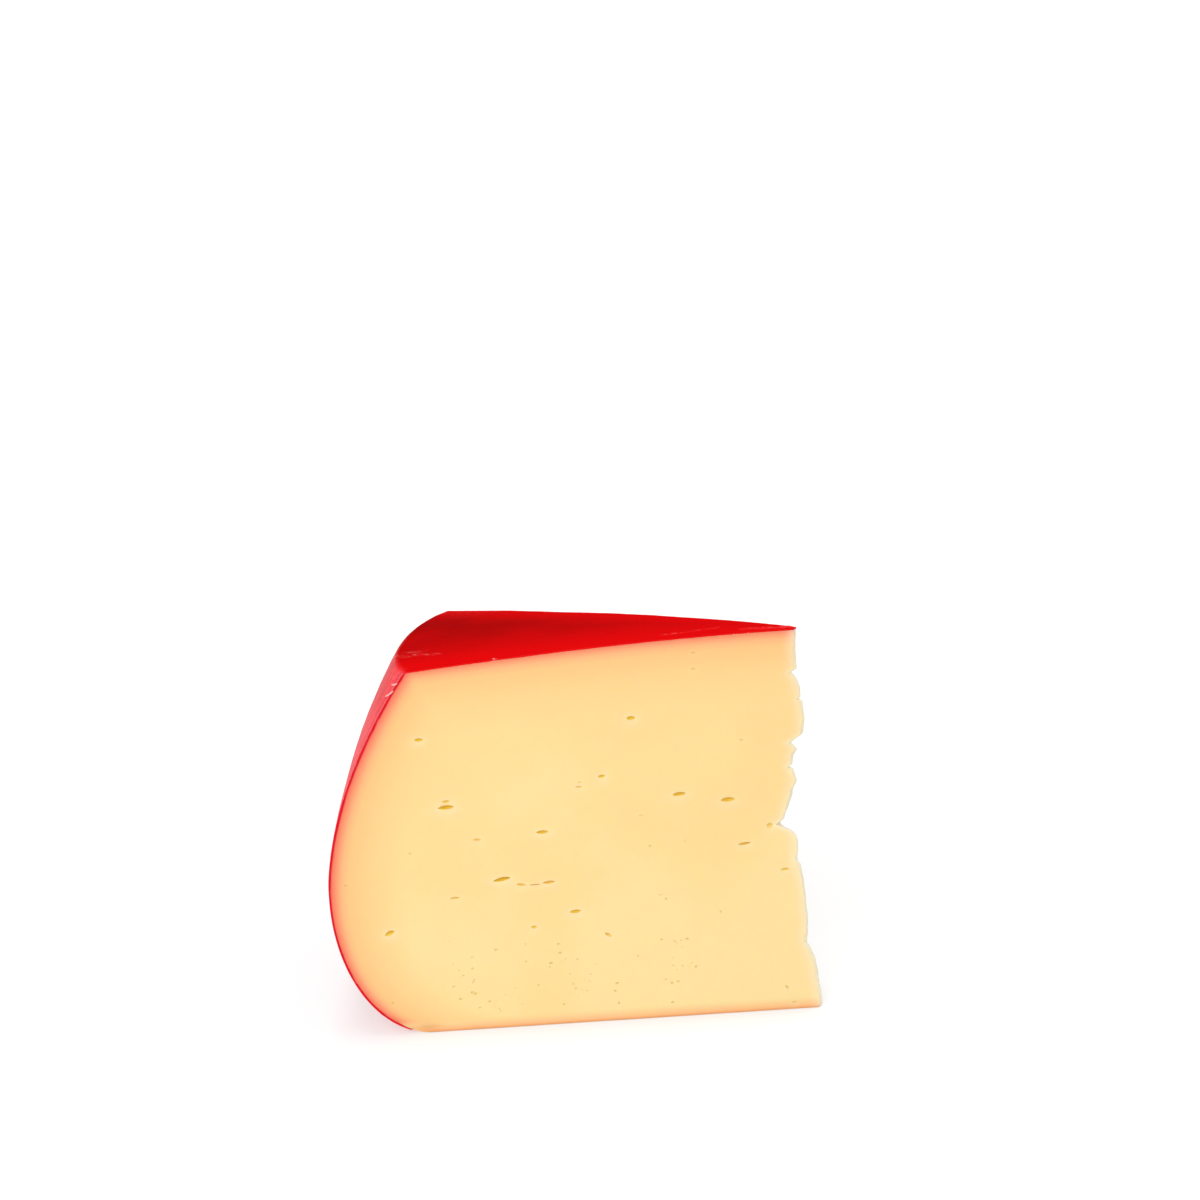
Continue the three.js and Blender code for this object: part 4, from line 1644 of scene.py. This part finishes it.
    def scraper(self, cut: Matrix, inwards: float) -> bpy.types.Object:
        """Builds the strip along the lower edge of a cut where the wax of the base came off.

        Args:
            cut: The cut's frame.
            inwards: 1 where +Y of that frame points into the cheese, else -1.

        Returns:
            The closed strip.
        """
        low, high = self.strip_reach
        bpy.ops.mesh.primitive_grid_add(x_subdivisions=self.strip_steps, y_subdivisions=1, size=1)
        strip = bpy.context.object
        points = points_of(strip)
        along = low + (points[:, 0] + 0.5) * (high - low)
        flat = np.stack([along, np.zeros(len(points)), np.zeros(len(points))], axis=1)
        coarse, fine = (depth * rough(flat, size, seed)
                        for depth, size, seed in zip(self.ragged, self.ragged_sizes, (21, 22)))
        back = inwards * (self.base_setback + (coarse + fine) * MM)
        up = self.strip_bottom + (points[:, 1] + 0.5) * (self.base_film_height - self.strip_bottom)
        move_points(strip, np.stack([along, back, up], axis=1))
        draw_out(strip, (0, -inwards * self.strip_depth, 0))
        strip.data.transform(cut)
        return strip

    def dress(self, rind: bpy.types.Object) -> None:
        """Paints the painted glow, sheen and shade, the wear and the whitening, and gives the finish.

        Args:
            rind: The finished mesh object.
        """
        points = points_of(rind)
        places = points - np.array(self.cuts.tip)
        front = np.clip(places[:, 1], 0, None) / MM
        back = np.clip(-self.cuts.in_back_frame(self.wheel, points)[:, 1], 0, None) / MM
        from_cut = np.minimum(front, back)
        lit = np.maximum(np.exp(-(front / self.lit_from_front) ** 2),
                         np.exp(-(back / self.lit_from_back) ** 2))

        rim = np.clip((self.wheel.shoulder_height + self.rim_from - points[:, 2]) / self.rim_span, 0, 1)
        high = np.clip((points[:, 2] / MM - self.high_from) / self.high_span, 0, 1)
        patchy = self.patchy * (1 + self.patch_contrast * rough(points, self.patch_size, 33))
        beside_cut = (self.scuff_sheen_low + self.scuff_sheen_high * high) * np.exp(-from_cut / self.scuff_sheen_reach)

        creased = sum((crease.whitened * crease.closeness(places) for crease in self.creases),
                      np.zeros(len(points)))
        specks = np.clip(self.speck_contrast * rough(points, self.speck_size, 31) - self.speck_least, 0, 1)
        whitened = creased * specks * self.wheel.on_top(points)
        for shaving in self.shavings:
            whitened = np.where(shaving.covers(places), 1.0, whitened)

        # The glow near the cuts is painted light, the pink of handling is partly a painted sheen, and the
        # crimson cut edge is painted shade
        for name, values in (("from_cut", from_cut), ("near_cut", lit), ("rim", rim),
                             ("handled_and_sheen", rim * np.clip(patchy + beside_cut, 0, 1)),
                             ("edge_shade", rim * np.exp(-from_cut / self.edge_shade_reach)),
                             ("whitened", np.clip(whitened, 0, 1))):
            paint(rind, name, values)
        wear(rind, self.finish.material(), self.sharp)


def chain(axis: Vector, outline: Array, turn: float) -> bpy.types.Object:
    """Draws an outline as a chain of edges in a plane through the wheel's axis.

    Args:
        axis: The middle of the wheel's base.
        outline: One row of radius and height for each point.
        turn: The plane's turn from -X towards +Y.

    Returns:
        The chain as a mesh object.
    """
    ray = Vector((-math.cos(turn), math.sin(turn), 0))
    places = [axis + ray * float(radius) + Vector((0, 0, float(height))) for radius, height in outline]
    bpy.ops.mesh.primitive_plane_add(size=MM, location=places[0])
    drawn = bpy.context.object
    bpy.ops.object.transform_apply(location=True)
    with editing(drawn):
        bpy.ops.mesh.merge(type="CENTER")
        for here, there in zip(places, places[1:]):
            bpy.ops.mesh.extrude_region_move(TRANSFORM_OT_translate={"value": there - here})
    return drawn


def turn_about(axis: Vector, angle: float, step: float) -> None:
    """Spins what is selected in edit mode about the wheel's axis.

    Args:
        axis: The middle of the wheel's base.
        angle: How far to turn, from -X towards +Y.
        step: The turn between two columns of faces.
    """
    bpy.ops.mesh.spin(steps=round(angle / step), angle=angle, center=axis, axis=(0, 0, 1))


# The studio


class Side(Enum):
    """The sides of the table that a softbox stands on, as a direction from the cheese."""

    FRONT_LEFT = (-0.55, -1.0, 0.95)
    LEFT = (-1.0, 0.25, 0.45)
    ABOVE = (0.1, 0.1, 1.0)
    RIGHT = (1.0, 0.35, 0.55)


@dataclass(frozen=True)
class Softbox:
    """A large soft light."""

    side: Side
    distance: float
    size: float
    power: float

    def hang(self, middle: Vector) -> None:
        """Hangs the light and points it at the cheese.

        Args:
            middle: The middle of the cheese.
        """
        place = middle + Vector(self.side.value).normalized() * self.distance
        bpy.ops.object.light_add(type="AREA", location=place)
        light = bpy.context.object
        light.name = f"softbox_{self.side.name.lower()}"
        light.data.shape = "DISK"
        light.data.size = self.size
        light.data.energy = self.power
        light.rotation_euler = (middle - place).to_track_quat("-Z", "Y").to_euler()


@dataclass(frozen=True)
class Studio:
    """The white table, the lights and the camera."""

    eye: Vector = Vector((-43.3, -426.9, 217.5)) * MM
    forward: Vector = Vector((0.1223, 0.9674, -0.2204))
    lens: float = 42.0
    sensor: float = 36.0
    softboxes: tuple[Softbox, ...] = (
        Softbox(Side.FRONT_LEFT, 1.3, 0.9, 9.2),
        Softbox(Side.LEFT, 1.1, 1.5, 3.4),
        Softbox(Side.ABOVE, 1.2, 1.0, 2.0),
        Softbox(Side.RIGHT, 1.5, 1.5, 6.0),
    )
    middle: Vector = Vector((0, 0, 50)) * MM
    # The sky as it looks, as it lights from most sides, and as it lights from low behind the cheese
    sky_look: float = 1.1
    sky_light: float = 0.5
    sky_behind: float = 0.01
    table_size: float = 8.0
    table_drop: float = 0.02 * MM
    table_colour: str = "#a8a8a8"
    # The table as it looks, by its distance from the cheese, and as it lights, by how far behind it
    table_glow: tuple[float, float] = (0.68, 1.1)
    glow_reach: tuple[float, float] = (0.15, 1.0)
    table_light: tuple[float, float] = (0.50, 1.10)
    light_reach: tuple[float, float] = (0.05, 0.4)
    foot_shade: float = 0.78
    foot_shade_reach: float = 16 * MM

    def build(self) -> None:
        """Sets up the table, the lights and the camera."""
        self.camera()
        self.table()
        self.sky()
        for softbox in self.softboxes:
            softbox.hang(self.middle)
        bpy.context.scene.view_settings.view_transform = "Standard"

    def camera(self) -> None:
        """Stands the camera where the photograph was taken from."""
        bpy.ops.object.camera_add(location=self.eye)
        camera = bpy.context.object
        camera.name = "camera"
        camera.rotation_euler = self.forward.to_track_quat("-Z", "Y").to_euler()
        camera.data.lens = self.lens
        camera.data.sensor_width = self.sensor
        camera.data.clip_start = 10 * MM
        bpy.context.scene.camera = camera

    def table(self) -> None:
        """Lays the table under the cheese."""
        bpy.ops.mesh.primitive_plane_add(size=self.table_size, location=(0, 0, -self.table_drop))
        table = settle(bpy.context.object, "table")
        material, tree, shader, place = start_material("white_laminate", {
            "Base Color": linear(self.table_colour), "Roughness": 0.6, "Specular IOR Level": 0.2,
            "Emission Color": linear("#ffffff"),
        })
        away = add_node(tree, "VectorMath", {"operation": "LENGTH"}, {0: place}).outputs["Value"]
        behind = add_node(tree, "SeparateXYZ", {}, {0: place}).outputs["Y"]
        glow, light = (
            add_node(tree, "MapRange", SOFT, {
                "Value": value, "From Min": reach[0], "From Max": reach[1],
                "To Min": shine[0], "To Max": shine[1],
            })
            for value, reach, shine in ((away, self.glow_reach, self.table_glow),
                                        (behind, self.light_reach, self.table_light))
        )
        # The soft shade along the foot, where the cheese hides the room from the table
        hidden = add_node(
            tree, "AmbientOcclusion", {"samples": 16}, {"Distance": self.foot_shade_reach},
        ).outputs["AO"]
        shade = add_node(
            tree, "MapRange", {}, {"Value": hidden, "From Min": 0.5, "To Min": self.foot_shade},
        )
        shaded = add_node(tree, "Math", {"operation": "MULTIPLY"}, {0: glow, 1: shade})
        seen = add_node(tree, "LightPath", {}, {}).outputs["Is Camera Ray"]
        strength = add_node(tree, "Mix", {}, {"Factor": seen, 2: light, 3: shaded})
        tree.links.new(strength.outputs[0], shader.inputs["Emission Strength"])
        table.data.materials.append(material)

    def sky(self) -> None:
        """Surrounds the table with white, which lights less than it looks, least of all from behind."""
        world = bpy.data.worlds.new("studio")
        world.use_nodes = True
        tree = world.node_tree
        tree.nodes.clear()
        seen = add_node(tree, "LightPath", {}, {}).outputs["Is Camera Ray"]
        way = add_node(tree, "TexCoord", {}, {}).outputs["Generated"]
        parts = add_node(tree, "SeparateXYZ", {}, {0: way}).outputs
        ahead = add_node(tree, "MapRange", SOFT, {"Value": parts["Y"], "From Min": 0.25, "From Max": 0.65})
        low = add_node(tree, "MapRange", SOFT, {
            "Value": parts["Z"], "From Min": 0.5, "From Max": 0.85, "To Min": 1.0, "To Max": 0.0,
        })
        behind = add_node(tree, "Math", {"operation": "MULTIPLY"}, {0: ahead, 1: low})
        strength = add_node(
            tree, "MapRange", {}, {"Value": behind, "To Min": self.sky_light, "To Max": self.sky_behind},
        )
        light, look = (
            add_node(tree, "Background", {}, {"Color": linear("#ffffff"), "Strength": power})
            for power in (strength, self.sky_look)
        )
        mixed = add_node(tree, "MixShader", {}, {0: seen, 1: light, 2: look})
        add_node(tree, "OutputWorld", {}, {"Surface": mixed})
        bpy.context.scene.world = world


def main() -> None:
    """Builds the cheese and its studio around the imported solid."""
    logging.basicConfig(level=logging.INFO, format="%(name)s: %(message)s")
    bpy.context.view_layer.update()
    low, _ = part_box(NODE)
    wheel, coat, torn = Wheel(), Coat(), TornPoint()
    axis = low[0] + wheel.radius - wheel.past_solid
    cuts = Cuts(tip=Vector((axis - Cuts.axis_past_point, low[1], low[2])))

    Studio().build()
    LOG.info("studio is set up")
    pieces = ((PasteBody(wheel, cuts, coat, torn), "paste"), (WaxRind(wheel, cuts, coat, torn), "wax_rind"))
    for maker, slot in pieces:
        piece = maker.build()
        maker.dress(piece)
        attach(piece, "root")
        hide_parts(NODE)
        LOG.info("%s has %d faces", piece.name, len(piece.data.polygons))


if __name__ == "__main__":
    main()
